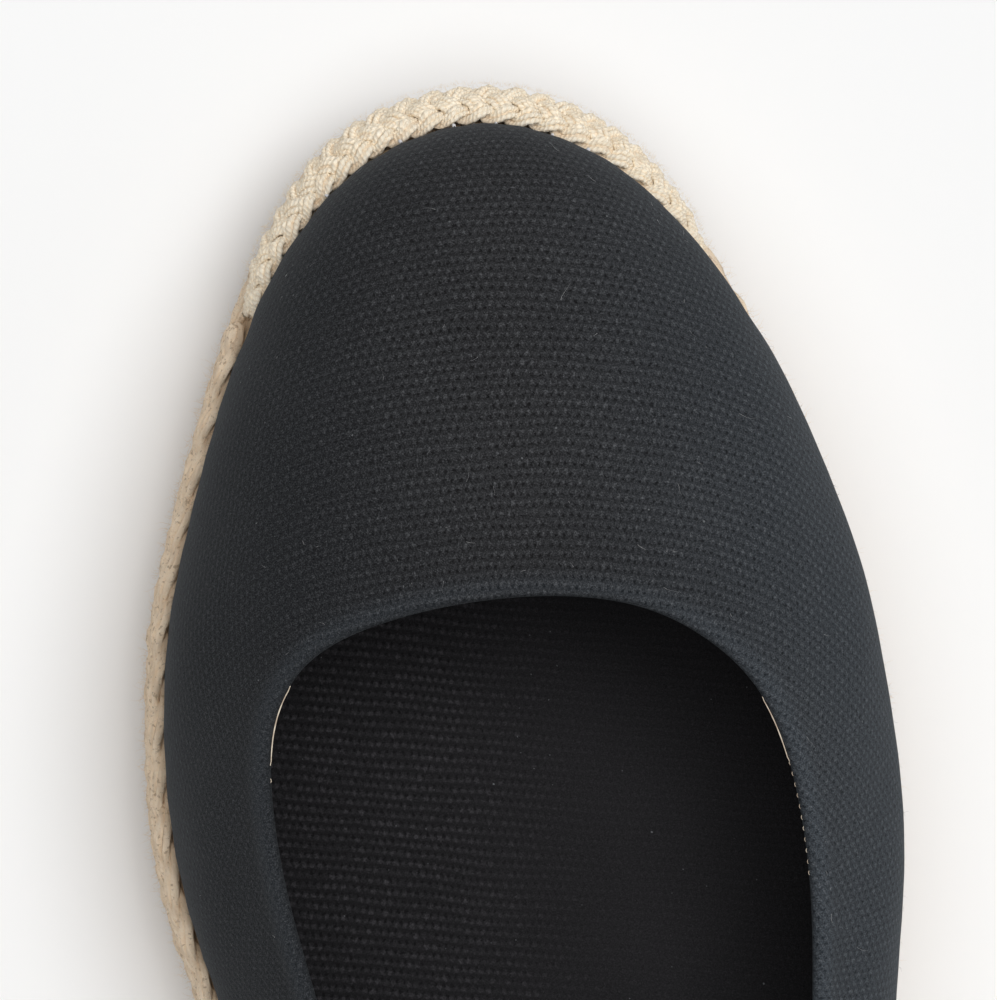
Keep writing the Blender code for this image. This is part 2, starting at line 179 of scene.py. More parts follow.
# Soft light: wide suns from above and from the right of the picture, and a pale sky, which has the
# second strength where the camera looks past the floor
LAMPS = (
    # name, strength, width, tilt off the vertical, turn about it, in degrees
    ("key", 0.85, 30, 20, 22),
    ("side", 0.10, 36, 54, -11),
    ("top", 1.88, 60, 0, 0),
)
SKY_STRENGTH = 0.19
BEYOND_FLOOR = 0.94
FLOOR_SIZE = 6.0

# Relief of the canvas over the model's smooth upper: pulls at the foot, waves, hem and back seam
FOOT_PULL = 0.00018
FOOT_PULL_PITCH = 0.0068
FOOT_PULL_FADE = 0.0030
LONG_WAVE = 0.00020
SHORT_WAVE = 0.00013
HEM_WIDTH = 0.0012
HEM_RIDGE = 0.00010
SEAM_RIDGE = 0.00020
SEAM_RIDGE_ASIDE = 0.0011
SEAM_GROOVE = 0.00030
TOE_FULLNESS = 0.00035
LATERAL_FULLNESS = 0.00065

# Threads: long bits along the collar with small stitches after them, and bits behind the braid
COLLAR_THREAD_ANGLE = math.radians(118)
COLLAR_THREADS = (
    # on the medial side, the long bit and its stitches as shares along the sole, radius
    (True, (0.672, 0.708), (0.664, 0.672), 0.00008),
    (False, (0.660, 0.6905), (0.604, 0.660), 0.00007),
)
COLLAR_THREAD_PROUD = 0.00012
COLLAR_THREAD_DIP = 0.00010
COLLAR_THREAD_DIP_RUN = 0.001 / 6
THREAD_STEP = 0.0005
STITCH_LENGTH = 0.0005
STITCH_PITCH = 0.0013
STITCH_ROOM = 0.0008
TOE_STITCHES_FROM_TIP = (-0.0210, -0.0100, -0.0033, 0.0018, 0.0088, 0.0135, 0.0232)
TOE_STITCH_PATH = (
    # height above the foot edge, distance out of the cloth
    (0.0026, 0.00000),
    (0.0022, 0.00018),
    (0.0018, 0.00028),
    (0.0013, 0.00045),
)
TOE_STITCH_RADIUS = 0.00022

# Hairs on the canvas: light lint that lies on it, and its own dark fuzz
LINT_COUNT = 110
LINT_LENGTH = 0.0022
CANVAS_FUZZ_COUNT = 3200
CANVAS_FUZZ_LENGTH = 0.00062

# Plaits: how they are worked, the round edge that they wrap, and the hairs that stand off them
TOE_PLAIT = {
    "strands": 5, "width": 0.0094, "thickness": 0.0027, "period": 0.0165, "yarns": 4,
    "yarn_radius": 0.00035, "step": 0.00025, "ply": 0.20, "ply_pitch": 0.00110,
}
TOE_FUZZ = {
    "width": 0.0088, "out": 0.0011, "count": 2400, "length": 0.0008, "radius": 0.000016,
    "spread": 0.75,
}
TOE_PLAIT_BEND = 0.0075
TOE_PLAIT_LATERAL_REACH = BRAID_REACH - 0.0062
TOE_PLAIT_MEDIAL_REACH = BRAID_REACH - 0.0020
TOE_PLAIT_PROUD = 0.0005
TOE_PLAIT_TUCK = 0.0012
TOE_PLAIT_TUCK_RUN = 0.0070
JUTE_PLAIT = {
    "strands": 3, "width": 0.0080, "thickness": 0.0026, "period": 0.0190, "yarns": 4,
    "yarn_radius": 0.00054, "step": 0.0011, "ply": 0.12, "ply_pitch": 0.0046,
}
JUTE_FUZZ = {
    "width": 0.0080, "out": 0.0010, "count": 3000, "length": 0.0014, "radius": 0.000020,
    "spread": 1.0,
}
JUTE_PLAIT_BEND = 0.0090
JUTE_PLAIT_LATERAL_REACH = BRAID_REACH - 0.0072
JUTE_PLAIT_MEDIAL_REACH = BRAID_REACH - 0.0005
JUTE_PLAIT_INSET = 0.0009
JUTE_PLAIT_SWAY = 0.0005
JUTE_CORE_SUNK = 0.0015

# How yarns lie in a plait: the sides of a yarn's skin, how far it wanders, and its spacing in yarn
# radii. A strand goes over and under the others, and its outer yarns and its core lie lower, all
# as shares of the plait's lift.
YARN_SIDES = 7
YARN_WANDER = 0.00016
YARN_SPACING = 1.9
STRAND_OVER = 0.62
OUTER_YARN_DROP = 0.42
CORE_DROP = 0.20

# Distance in the map from one yarn to the next, so that no two yarns look the same
MAP_STEP = 0.731

# Outsole: bevel of the rim, the fine line round it, and the tread's zigzag grooves
RIM_BEVEL = 0.0003
RIM_LINE_HEIGHT = 0.0023
RIM_LINE_WIDTH = 0.0003
RIM_LINE_DEPTH = 0.0002
TREAD_COLUMNS = 48
TREAD_DEPTH = 0.0006
TREAD_PITCH = 0.0052
TREAD_ZIGZAG_WIDTH = 0.012
TREAD_ZIGZAG_REACH = 0.004
TREAD_BORDER = 0.003

# Insole: its rounded edge, its dish, and how far in from the edge its rings lie
INSOLE_ROUND = 0.0009
INSOLE_DISH = 0.0006
INSOLE_DISH_RUN = 0.0080
INSOLE_RINGS = (0.0, 0.00005, 0.00015, 0.0003, 0.00055, 0.0009, 0.0016, 0.0030, 0.0045, 0.0060,
                INSOLE_DISH_RUN)

random = np.random.default_rng(11)


def smooth(x):
    """Soft step from 0 to 1."""
    x = np.clip(x, 0.0, 1.0)
    return x * x * (3 - 2 * x)


def bell(x):
    """Soft bump: 1 where x is 0, and next to nothing past 2 on both sides."""
    return np.exp(-(x**2))


def unit(vectors):
    return vectors / np.linalg.norm(vectors, axis=-1, keepdims=True)


def lengths_along(points):
    """Length passed at each point of a line."""
    steps = np.linalg.norm(np.diff(points, axis=0), axis=1)
    return np.concatenate([[0.0], np.cumsum(steps)])


def read_rows(places, known_places, rows):
    """Rows of values at the places, in straight steps between the known ones."""
    return np.column_stack([np.interp(places, known_places, column) for column in rows.T])


class Loop:
    """A closed smooth curve through rows of values, one row at each rising knot."""

    def __init__(self, knots, rows, period):
        self.knots = np.append(knots, knots[0] + period)
        self.rows = np.vstack([rows, rows[:1]])
        spans = np.diff(self.knots)
        slopes = np.diff(self.rows, axis=0) / spans[:, None]
        count = len(knots)
        system = np.zeros((count, count))
        known = np.zeros((count, self.rows.shape[1]))
        for i in range(count):
            before, after = spans[i - 1], spans[i]
            system[i, i - 1] += after
            system[i, i] += 2 * (before + after)
            system[i, (i + 1) % count] += before
            known[i] = 3 * (after * slopes[i - 1] + before * slopes[i])
        tangents = np.linalg.solve(system, known)
        self.tangents = np.vstack([tangents, tangents[:1]])

    def at(self, places):
        """Rows of values at the places, which may lie beyond one period."""
        period = self.knots[-1] - self.knots[0]
        places = self.knots[0] + (np.asarray(places, dtype=float) - self.knots[0]) % period
        i = np.clip(np.searchsorted(self.knots, places, side="right") - 1, 0, len(self.knots) - 2)
        span = (self.knots[i + 1] - self.knots[i])[:, None]
        t = (places - self.knots[i])[:, None] / span
        return (
            (2 * t**3 - 3 * t**2 + 1) * self.rows[i]
            + (t**3 - 2 * t**2 + t) * span * self.tangents[i]
            + (3 * t**2 - 2 * t**3) * self.rows[i + 1]
            + (t**3 - t**2) * span * self.tangents[i + 1]
        )


class Rail:
    """A closed curve round the shoe, read by turn in even steps of its length on each side.

    It starts at the toe, and back is the number of its point at the heel."""

    def __init__(self, points, back):
        points = np.array(points, dtype=float)
        chords = np.linalg.norm(np.roll(points, -1, axis=0) - points, axis=1)
        knots = np.concatenate([[0.0], np.cumsum(np.sqrt(chords))])
        loop = Loop(knots[:-1], points, knots[-1])
        steps = len(points) * FINE_STEPS
        places = np.interp(np.arange(steps + 1) / FINE_STEPS, np.arange(len(knots)), knots)
        self.points = loop.at(places)
        self.points[-1] = self.points[0]
        self.lengths = lengths_along(self.points)
        self.half = self.lengths[back * FINE_STEPS]
        ahead = np.roll(self.points[:-1], -1, axis=0)
        behind = np.roll(self.points[:-1], 1, axis=0)
        along = unit((ahead - behind)[:, :2])
        normals = np.column_stack([-along[:, 1], along[:, 0]])
        self.normals = np.vstack([normals, normals[:1]])

    def read(self, values, turns):
        """The values, which are given along the rail, at these turns."""
        turns = np.asarray(turns) % 1.0
        whole = self.lengths[-1]
        first = 2 * turns * self.half
        second = self.half + (2 * turns - 1) * (whole - self.half)
        lengths = np.where(turns <= 0.5, first, second)
        return read_rows(lengths, self.lengths, values)

    def at(self, turns):
        return self.read(self.points, turns)

    def outward(self, turns):
        return unit(self.read(self.normals, turns))


def bottom_height(y):
    """Height of the sole's underside above the floor: it touches at heel and forefoot."""
    share = np.asarray(y) / SOLE_LENGTH
    heel = HEEL_ROLL * np.clip((HEEL_ROLL_ENDS_SHARE - share) / HEEL_ROLL_ENDS_SHARE, 0, None) ** 2
    arch_run = ARCH_ENDS_SHARE - ARCH_STARTS_SHARE
    arch_share = np.clip((share - ARCH_STARTS_SHARE) / arch_run, 0, 1)
    arch = ARCH_HOLLOW * np.sin(math.pi * arch_share) ** 2
    toe_share = np.clip((share - SPRING_STARTS_SHARE) / (1 - SPRING_STARTS_SHARE), 0, None)
    return heel + arch + TOE_SPRING * toe_share**SPRING_POWER


def top_height(y):
    """Height of the jute's upper face, where the upper and the insole stand."""
    share = np.asarray(y) / SOLE_LENGTH
    rise_run = HEEL_RISE_STARTS_SHARE - HEEL_RISE_ENDS_SHARE
    to_heel = smooth((HEEL_RISE_STARTS_SHARE - share) / rise_run)
    to_toe = smooth((share - TOE_THINS_FROM_SHARE) / (1 - TOE_THINS_FROM_SHARE))
    thickness = BALL_HEIGHT + (HEEL_HEIGHT - BALL_HEIGHT) * to_heel
    thickness = thickness + (TOE_HEIGHT - BALL_HEIGHT) * to_toe
    return bottom_height(y) + thickness


def sole_rail():
    """Outermost line of the sole, flat on the floor plane."""
    tip = (TOE_TIP_ACROSS_SHARE * BALL_WIDTH, SOLE_LENGTH, 0.0)
    back = (HEEL_BACK_ACROSS_SHARE * BALL_WIDTH, 0.0, 0.0)
    lateral = [(out * BALL_WIDTH, along * SOLE_LENGTH, 0.0) for along, out, _ in SOLE_OUTLINE]
    medial = [(out * BALL_WIDTH, along * SOLE_LENGTH, 0.0) for along, _, out in SOLE_OUTLINE]
    return Rail([tip, *lateral, back, *reversed(medial)], len(lateral) + 1)


def collar_rail():
    """Top edge of the upper, with its heights."""
    lateral, medial = [], []
    for along, lateral_out, medial_out, lift in COLLAR:
        crest = THROAT_HEIGHT if along > 0.5 else HEEL_TOP_HEIGHT
        height = COLLAR_HEIGHT + lift * (crest - COLLAR_HEIGHT)
        lateral.append((lateral_out * BALL_WIDTH, along * SOLE_LENGTH, height))
        medial.append((medial_out * BALL_WIDTH, along * SOLE_LENGTH, height))
    tip = (THROAT_ACROSS_SHARE * BALL_WIDTH, THROAT_ALONG_SHARE * SOLE_LENGTH, THROAT_HEIGHT)
    back_across = HEEL_BACK_ACROSS_SHARE * BALL_WIDTH
    back = (back_across, COLLAR_BACK_ALONG_SHARE * SOLE_LENGTH, HEEL_TOP_HEIGHT)
    return Rail([tip, *lateral, back, *reversed(medial)], len(lateral) + 1)


SOLE = sole_rail()
COLLAR_EDGE = collar_rail()
FORM_TABLE = np.array(UPPER_FORM)
FORM = Loop(FORM_TABLE[:, 0], FORM_TABLE[:, 1:], 1.0)

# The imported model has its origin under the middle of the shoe, and the rails start at the heel
jute_low, jute_high = (np.array(corner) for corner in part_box("jute_sole"))
rail_middle = (SOLE.points[:, 0].min() + SOLE.points[:, 0].max()) / 2
SHIFT = np.array([(jute_low[0] + jute_high[0]) / 2 - rail_middle, jute_low[1], 0.0])


def column_turns(columns, start=0.0, extra=0):
    """Turns of the columns round the shoe, closer together at toe and heel."""
    even = start + np.arange(columns + extra) / columns
    return even - CROWDING * np.sin(4 * math.pi * even) / (4 * math.pi)


def turn_behind_tip(distance, medial):
    """The turn on one side where the sole's outline lies this far behind the tip of the toe."""
    search = np.linspace(0.0, 0.5, 600)
    behind_tip = SOLE_LENGTH - SOLE.at(1 - search if medial else search)[:, 1]
    return np.interp(distance, behind_tip, search)


def ring(turns, inset, height):
    """Points inset from the sole's outline, at the height that height(y) gives."""
    inset = np.broadcast_to(inset, len(turns))
    plan = SOLE.at(turns)[:, :2] - inset[:, None] * SOLE.outward(turns)
    return np.column_stack([plan, height(plan[:, 1])])


def braid_zone(turns):
    """1 along the toe where the jute makes room for the braid, fading to 0 behind its ends."""
    behind_tip = SOLE_LENGTH - SOLE.at(turns)[:, 1]
    return 1 - smooth((behind_tip - BRAID_REACH - GAP) / RECESS_FADE)


def braid_frame(turns):
    """Centres of the braid's sections as inset and height above the jute, and their half axes."""
    behind_tip = SOLE_LENGTH - SOLE.at(turns)[:, 1]
    to_end = smooth(behind_tip / BRAID_REACH)[:, None]
    lean = BRAID_LEAN_AT_TIP + (BRAID_LEAN_AT_END - BRAID_LEAN_AT_TIP) * to_end
    thick = BRAID_THICKNESS_AT_TIP + (BRAID_THICKNESS_AT_END - BRAID_THICKNESS_AT_TIP) * to_end
    up = BRAID_WIDTH / 2 * np.column_stack([np.cos(lean), np.sin(lean)])
    inward = thick / 2 * np.column_stack([np.sin(lean), -np.cos(lean)])
    extent = np.hypot(up, inward)
    centre = np.column_stack([extent[:, 0] - BRAID_PROUD, BRAID_ABOVE_SOLE - extent[:, 1]])
    return centre, up, inward


def recess_line(turns, height):
    """Insets of the sloping face behind the braid, at a height above (or below) the jute's top."""
    centre, up, inward = braid_frame(turns)
    foot = centre + inward * (1 + SEAT_GAP / np.linalg.norm(inward, axis=1)[:, None])
    return foot[:, 0] + (height - foot[:, 1]) * up[:, 0] / up[:, 1]


def upper_inset(turns):
    """How far the upper's foot stands in from the sole's outline: behind the braid at the toe."""
    behind_braid = recess_line(turns, 0.0)
    return UPPER_INSET + (behind_braid - UPPER_INSET) * braid_zone(turns)


def upper_surface(turns, shares):
    """Outer face of the upper at shares of the way from the feather edge up to the collar."""
    slip, swell, rise, reach, drop = FORM.at(turns).T[:, :, None]
    foot = ring(turns, upper_inset(turns), lambda y: top_height(y) + GAP)
    collar = COLLAR_EDGE.at(np.asarray(turns) + slip[:, 0])
    height = (collar[:, 2] - foot[:, 2])[:, None]
    plan = (foot - collar)[:, :2]
    distance = np.linalg.norm(plan, axis=1)[:, None]
    out = np.column_stack([plan / distance, np.zeros(len(turns))])
    up = np.array([[0.0, 0.0, 1.0]])
    low = foot + swell * BALL_WIDTH * out + rise * height * up
    high = collar + reach * distance * out - drop * height * up
    t = np.asarray(shares)[:, None, None]
    return (
        (1 - t) ** 3 * foot
        + 3 * (1 - t) ** 2 * t * low
        + 3 * (1 - t) * t**2 * high
        + t**3 * collar
    )


def surface_normals(grid):
    """Outward normals of a grid of rows by columns that closes round its columns."""
    around = np.roll(grid, -1, axis=1) - np.roll(grid, 1, axis=1)
    upward = np.gradient(grid, axis=0)
    return unit(np.cross(upward, around))


# Making meshes


def add_mesh(name, vertices, faces, materials, slot, uv=None, depth=None, face_materials=None,
             node=None):
    """One smooth-shaded piece of the shoe, from points measured on the rails.

    uv is the piece's own map, for each corner of each face. depth is a number for each point that
    the materials read: on a plait, 0 deep in it, where they paint shade, and 1 on top; on cloth, 0
    where it is plain, and up to 1 where it is worn and where the rolled collar gets a painted
    highlight. node is the node of the model that the piece replaces."""
    mesh = bpy.data.meshes.new(name)
    faces = faces if isinstance(faces, list) else faces.tolist()
    mesh.from_pydata((np.asarray(vertices) + SHIFT).tolist(), [], faces)
    mesh.shade_smooth()
    for material in materials:
        mesh.materials.append(material)
    if uv is not None:
        layer = mesh.uv_layers.new(name="cloth")
        layer.data.foreach_set("uv", np.asarray(uv, dtype=np.float32).ravel())
    if depth is not None:
        values = mesh.attributes.new("depth", "FLOAT", "POINT")
        values.data.foreach_set("value", np.asarray(depth, dtype=np.float32))
    if face_materials is not None:
        mesh.polygons.foreach_set("material_index", np.asarray(face_materials, dtype=np.int32))
    piece = bpy.data.objects.new(name, mesh)
    bpy.context.scene.collection.objects.link(piece)
    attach(piece, "root")
    if node:
        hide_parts(node)
    return piece


def grid_faces(rows, columns):
    """Quads of a grid whose columns close round the shoe, and the grid places of their corners."""
    row, column = np.meshgrid(np.arange(rows - 1), np.arange(columns), indexing="ij")
    row, column = row.ravel(), column.ravel()
    rows_of = np.column_stack([row, row, row + 1, row + 1])
    columns_of = np.column_stack([column, column + 1, column + 1, column])
    return rows_of * columns + columns_of % columns, rows_of, columns_of


def without_repeats(corners):
    return list(dict.fromkeys(corners))


def ladder_faces(start, columns, upward):
    """Cap over one ring: rungs from the lateral to the medial side, from toe to heel."""
    faces = []
    for step in range(columns // 2):
        lateral, medial = start + step, start + (columns - step) % columns
        lateral_next, medial_next = start + step + 1, start + columns - step - 1
        face = without_repeats([lateral, medial, medial_next, lateral_next])
        faces.append(face if upward else face[::-1])
    return faces


def capped_faces(rings, open_below=False):
    """Faces of rings one under another, with a cap over the first and one under the last."""
    faces = grid_faces(rings, SOLE_COLUMNS)[0].tolist()
    faces += ladder_faces(0, SOLE_COLUMNS, True)
    if not open_below:
        faces += ladder_faces((rings - 1) * SOLE_COLUMNS, SOLE_COLUMNS, False)
    return faces


def tube(path, outward, radius, sides, closed=False, ply=0.0, ply_pitch=0.002, breadth=1.0):
    """A yarn along a path: points, quads and a map of length and turn.

    A ply ripples its skin, and breadth makes it flatter, broader across than out."""
    if closed:
        ahead, behind = np.roll(path, -1, axis=0), np.roll(path, 1, axis=0)
        along = unit(ahead - behind)
    else:
        along = unit(np.gradient(path, axis=0))
    aside = unit(np.cross(along, outward))
    front = np.cross(aside, along)
    length = lengths_along(path)
    angle = 2 * math.pi * np.arange(sides) / sides
    twist = 2 * math.pi * length / ply_pitch
    ripple = 1 + ply * np.cos(2 * angle[None, :] - twist[:, None])
    reach = np.broadcast_to(radius, len(path))[:, None] * ripple
    points = (
        path[:, None, :]
        + (reach * np.cos(angle))[:, :, None] * front[:, None, :]
        + (breadth * reach * np.sin(angle))[:, :, None] * aside[:, None, :]
    )
    count = len(path)
    last = count if closed else count - 1
    i, j = np.meshgrid(np.arange(last), np.arange(sides), indexing="ij")
    i, j = i.ravel(), j.ravel()
    stations = np.column_stack([i, i + 1, i + 1, i])
    around = np.column_stack([j, j, j + 1, j + 1])
    faces = (stations % count) * sides + around % sides
    lengths = np.append(length, length[-1] + np.linalg.norm(path[0] - path[-1]))
    uv = np.stack([lengths[stations], around / sides], axis=-1)
    return points.reshape(-1, 3), faces, uv


def join_tubes(tubes, depths=None):
    """Joins tubes into one mesh's points, quads, map and depths. Each has its own place in the map."""
    points, faces, maps, depth = [], [], [], []
    start = 0
    for index, (vertices, quads, uv) in enumerate(tubes):
        points.append(vertices)
        faces.append(quads + start)
        maps.append((uv + np.array([MAP_STEP * index, 0.0])).reshape(-1, 2))
        if depths is not None:
            depth.append(depths[index])
        start += len(vertices)
    depth = np.concatenate(depth) if depths is not None else None
    return np.vstack(points), np.vstack(faces), np.vstack(maps), depth


class Track:
    """The line that a plait is worked along: places read by length, with its two directions.

    With a bend, the plait wraps a round edge of that radius."""

    def __init__(self, centre, across, outward, closed=False, bend=1.0):
        self.centre, self.across, self.outward = centre, unit(across), unit(outward)
        self.closed = closed
        self.bend = bend
        if closed:
            self.centre = np.vstack([centre, centre[:1]])
            self.across = np.vstack([self.across, self.across[:1]])
            self.outward = np.vstack([self.outward, self.outward[:1]])
        self.lengths = lengths_along(self.centre)
        self.length = self.lengths[-1]

    def at(self, length, across, out):
        """Points at lengths along, distances across and distances out, and the way out there."""
        length = length % self.length if self.closed else np.clip(length, 0.0, self.length)
        read = read_rows(length, self.lengths, np.hstack([self.centre, self.across, self.outward]))
        centre, side, face = read[:, :3], unit(read[:, 3:6]), unit(read[:, 6:9])
        angle = (across / self.bend)[:, None]
        reach = self.bend + out[:, None]
        outward = np.sin(angle) * side + np.cos(angle) * face
        return centre + reach * outward - self.bend * face, outward


def plait(track, strands, width, thickness, period, yarns, yarn_radius, step, ply, ply_pitch,
          taper=0.0):
    """Strands of side by side yarns, an odd number of them, plaited flat: tubes and their depths, from
    which the materials paint shade deep in the plait.

    Each strand swings from edge to edge once a period, over one strand and under the next, and has a
    flat core that closes the gaps between its yarns. With a taper, both ends get thinner over it."""
    count = max(8, int(track.length / step))
    length = np.arange(count) * track.length / (count if track.closed else count - 1)
    if track.closed:
        period = track.length / round(track.length / period)
    strand = yarns * yarn_radius * YARN_SPACING
    swing = (width - strand) / 2
    lift = thickness / 2 - yarn_radius
    lowest = STRAND_OVER + OUTER_YARN_DROP
    core_radius = 0.70 * yarn_radius
    core_breadth = (strand / 2 - 0.5 * yarn_radius) / core_radius
    shrink = np.ones(count)
    if taper:
        to_end = np.minimum(length, track.length - length)
        shrink = 0.55 + 0.45 * np.sqrt(np.clip(to_end / taper, 0.0, 1.0))
    tubes, depths = [], []
    for number in range(strands):
        phase = 2 * math.pi * (length / period + number / strands)
        over = STRAND_OVER * np.sin((strands - 1) * phase)
        slope = swing * 2 * math.pi / period * np.cos(phase)
        lean = np.arctan(slope)
        out = (lift * (over - CORE_DROP) - 0.50 * yarn_radius) * shrink
        path, outward = track.at(length, shrink * swing * np.sin(phase), out)
        tubes.append(tube(path, outward, core_radius * shrink, 2 * YARN_SIDES, track.closed,
                          breadth=core_breadth))
        # The core shows only between the yarns, so its skin counts as deep and gets painted shade
        height = np.clip((out / lift + 0.84) / 1.66, 0, 1)
        depths.append(np.repeat(0.3 * height, 2 * YARN_SIDES))
        for yarn in range(yarns):
            share = (yarn - (yarns - 1) / 2) / max(1, (yarns - 1) / 2)
            wave = 2 * math.pi * length / period
            wander = YARN_WANDER * np.sin(wave / 2.7 + yarn * 2.1 + number * 4.3)
            offset = share * (strand / 2 - yarn_radius) + wander
            along = length - offset * np.sin(lean)
            across = shrink * (swing * np.sin(phase) + offset * np.cos(lean))
            out = lift * (over - OUTER_YARN_DROP * share**2) * shrink
            out = out + 0.6 * YARN_WANDER * np.cos(wave / 1.9 + yarn * 1.3)
            path, outward = track.at(along, across, out)
            size = yarn_radius * (0.92 + 0.16 * random.random())
            tubes.append(tube(path, outward, size, YARN_SIDES, track.closed, ply, ply_pitch))
            height = (out / lift + lowest) / (lowest + STRAND_OVER)
            depths.append(np.repeat(np.clip(height, 0, 1), YARN_SIDES))
    return tubes, depths


def hairs(roots, ways, lengths, radius, curl):
    """Fine tapering hairs from their roots, each with its own bend: points and quads."""
    count, points, sides = len(roots), 5, 3
    share = np.linspace(0.0, 1.0, points)[None, :, None]
    bend = unit(np.cross(ways, random.normal(size=(count, 3))))
    second = np.cross(ways, bend)
    size = lengths[:, None, None]
    path = roots[:, None, :] + size * (
        share * ways[:, None, :]
        + curl * share**2 * bend[:, None, :]
        + 0.4 * curl * np.sin(3.0 * share) * share * second[:, None, :]
    )
    thick = radius * (1 - 0.75 * share)
    angle = 2 * math.pi * np.arange(sides) / sides
    around = (
        np.cos(angle)[None, None, :, None] * bend[:, None, None, :]
        + np.sin(angle)[None, None, :, None] * second[:, None, None, :]
    )
    vertices = path[:, :, None, :] + thick[:, :, :, None] * around
    hair, i, j = np.meshgrid(np.arange(count), np.arange(points - 1), np.arange(sides), indexing="ij")
    hair, i, j = hair.ravel(), i.ravel(), j.ravel()
    after = (j + 1) % sides
    start = hair * points * sides
    low, high = start + i * sides, start + (i + 1) * sides
    return vertices.reshape(-1, 3), np.column_stack([low + j, high + j, high + after, low + after])


def plait_fuzz(track, width, out, count, length, radius, spread):
    """Hairs that stand off a plait all along its track, and lean more with a wider spread."""
    along = random.uniform(0.0, track.length, count)
    across = random.uniform(-0.5, 0.5, count) * width
    roots, outward = track.at(along, across, np.full(count, out))
    ways = unit(outward + spread * random.normal(size=(count, 3)))
    lengths = length * random.uniform(0.4, 1.0, count) ** 1.5
    return hairs(roots, ways, lengths, radius, 0.7)


def flat_cloth(points):
    """Lays a grid of rows by columns flat with little stretch, and gives its flat places in metres.

    The flat cloth has its origin at the foot of the middle column and runs up that column."""
    rows, columns = points.shape[:2]
    row, column = np.meshgrid(np.arange(rows - 1), np.arange(columns - 1), indexing="ij")
    first = (row * columns + column).ravel()
    faces = np.column_stack([first, first + 1, first + columns + 1, first + columns])
    mesh = bpy.data.meshes.new("pattern_piece")
    mesh.from_pydata(points.reshape(-1, 3).tolist(), [], faces.tolist())
    mesh.uv_layers.new(name="flat")
    pattern = bpy.data.objects.new("pattern_piece", mesh)
    bpy.context.scene.collection.objects.link(pattern)
    bpy.context.view_layer.objects.active = pattern
    pattern.select_set(True)
    bpy.ops.object.mode_set(mode="EDIT")
    bpy.ops.mesh.select_all(action="SELECT")
    bpy.ops.uv.unwrap(method="MINIMUM_STRETCH", iterations=60, margin=0.0)
    bpy.ops.object.mode_set(mode="OBJECT")
    loops = len(mesh.loops)
    found, corner = np.zeros(loops * 2), np.zeros(loops, dtype=np.int32)
    mesh.uv_layers["flat"].data.foreach_get("uv", found)
    mesh.loops.foreach_get("vertex_index", corner)
    flat = np.zeros((rows * columns, 2))
    flat[corner] = found.reshape(-1, 2)
    flat = flat.reshape(rows, columns, 2)
    bpy.data.objects.remove(pattern, do_unlink=True)

    middle = columns // 2
    foot, head = flat[0, middle], flat[-1, middle]
    way = unit(head - foot)
    flat = flat - foot
    flat = np.stack([flat @ np.array([way[1], -way[0]]), flat @ way], axis=-1)
    vamp = slice(middle - columns // 6, middle + columns // 6)
    real = np.linalg.norm(np.diff(points[rows // 2:, vamp], axis=1), axis=2).sum()
    drawn = np.linalg.norm(np.diff(flat[rows // 2:, vamp], axis=1), axis=2).sum()
    flat *= real / drawn
    if flat[0, middle // 2, 0] * points[0, middle // 2, 0] < 0:
        flat[:, :, 0] *= -1
    return flat


# Materials


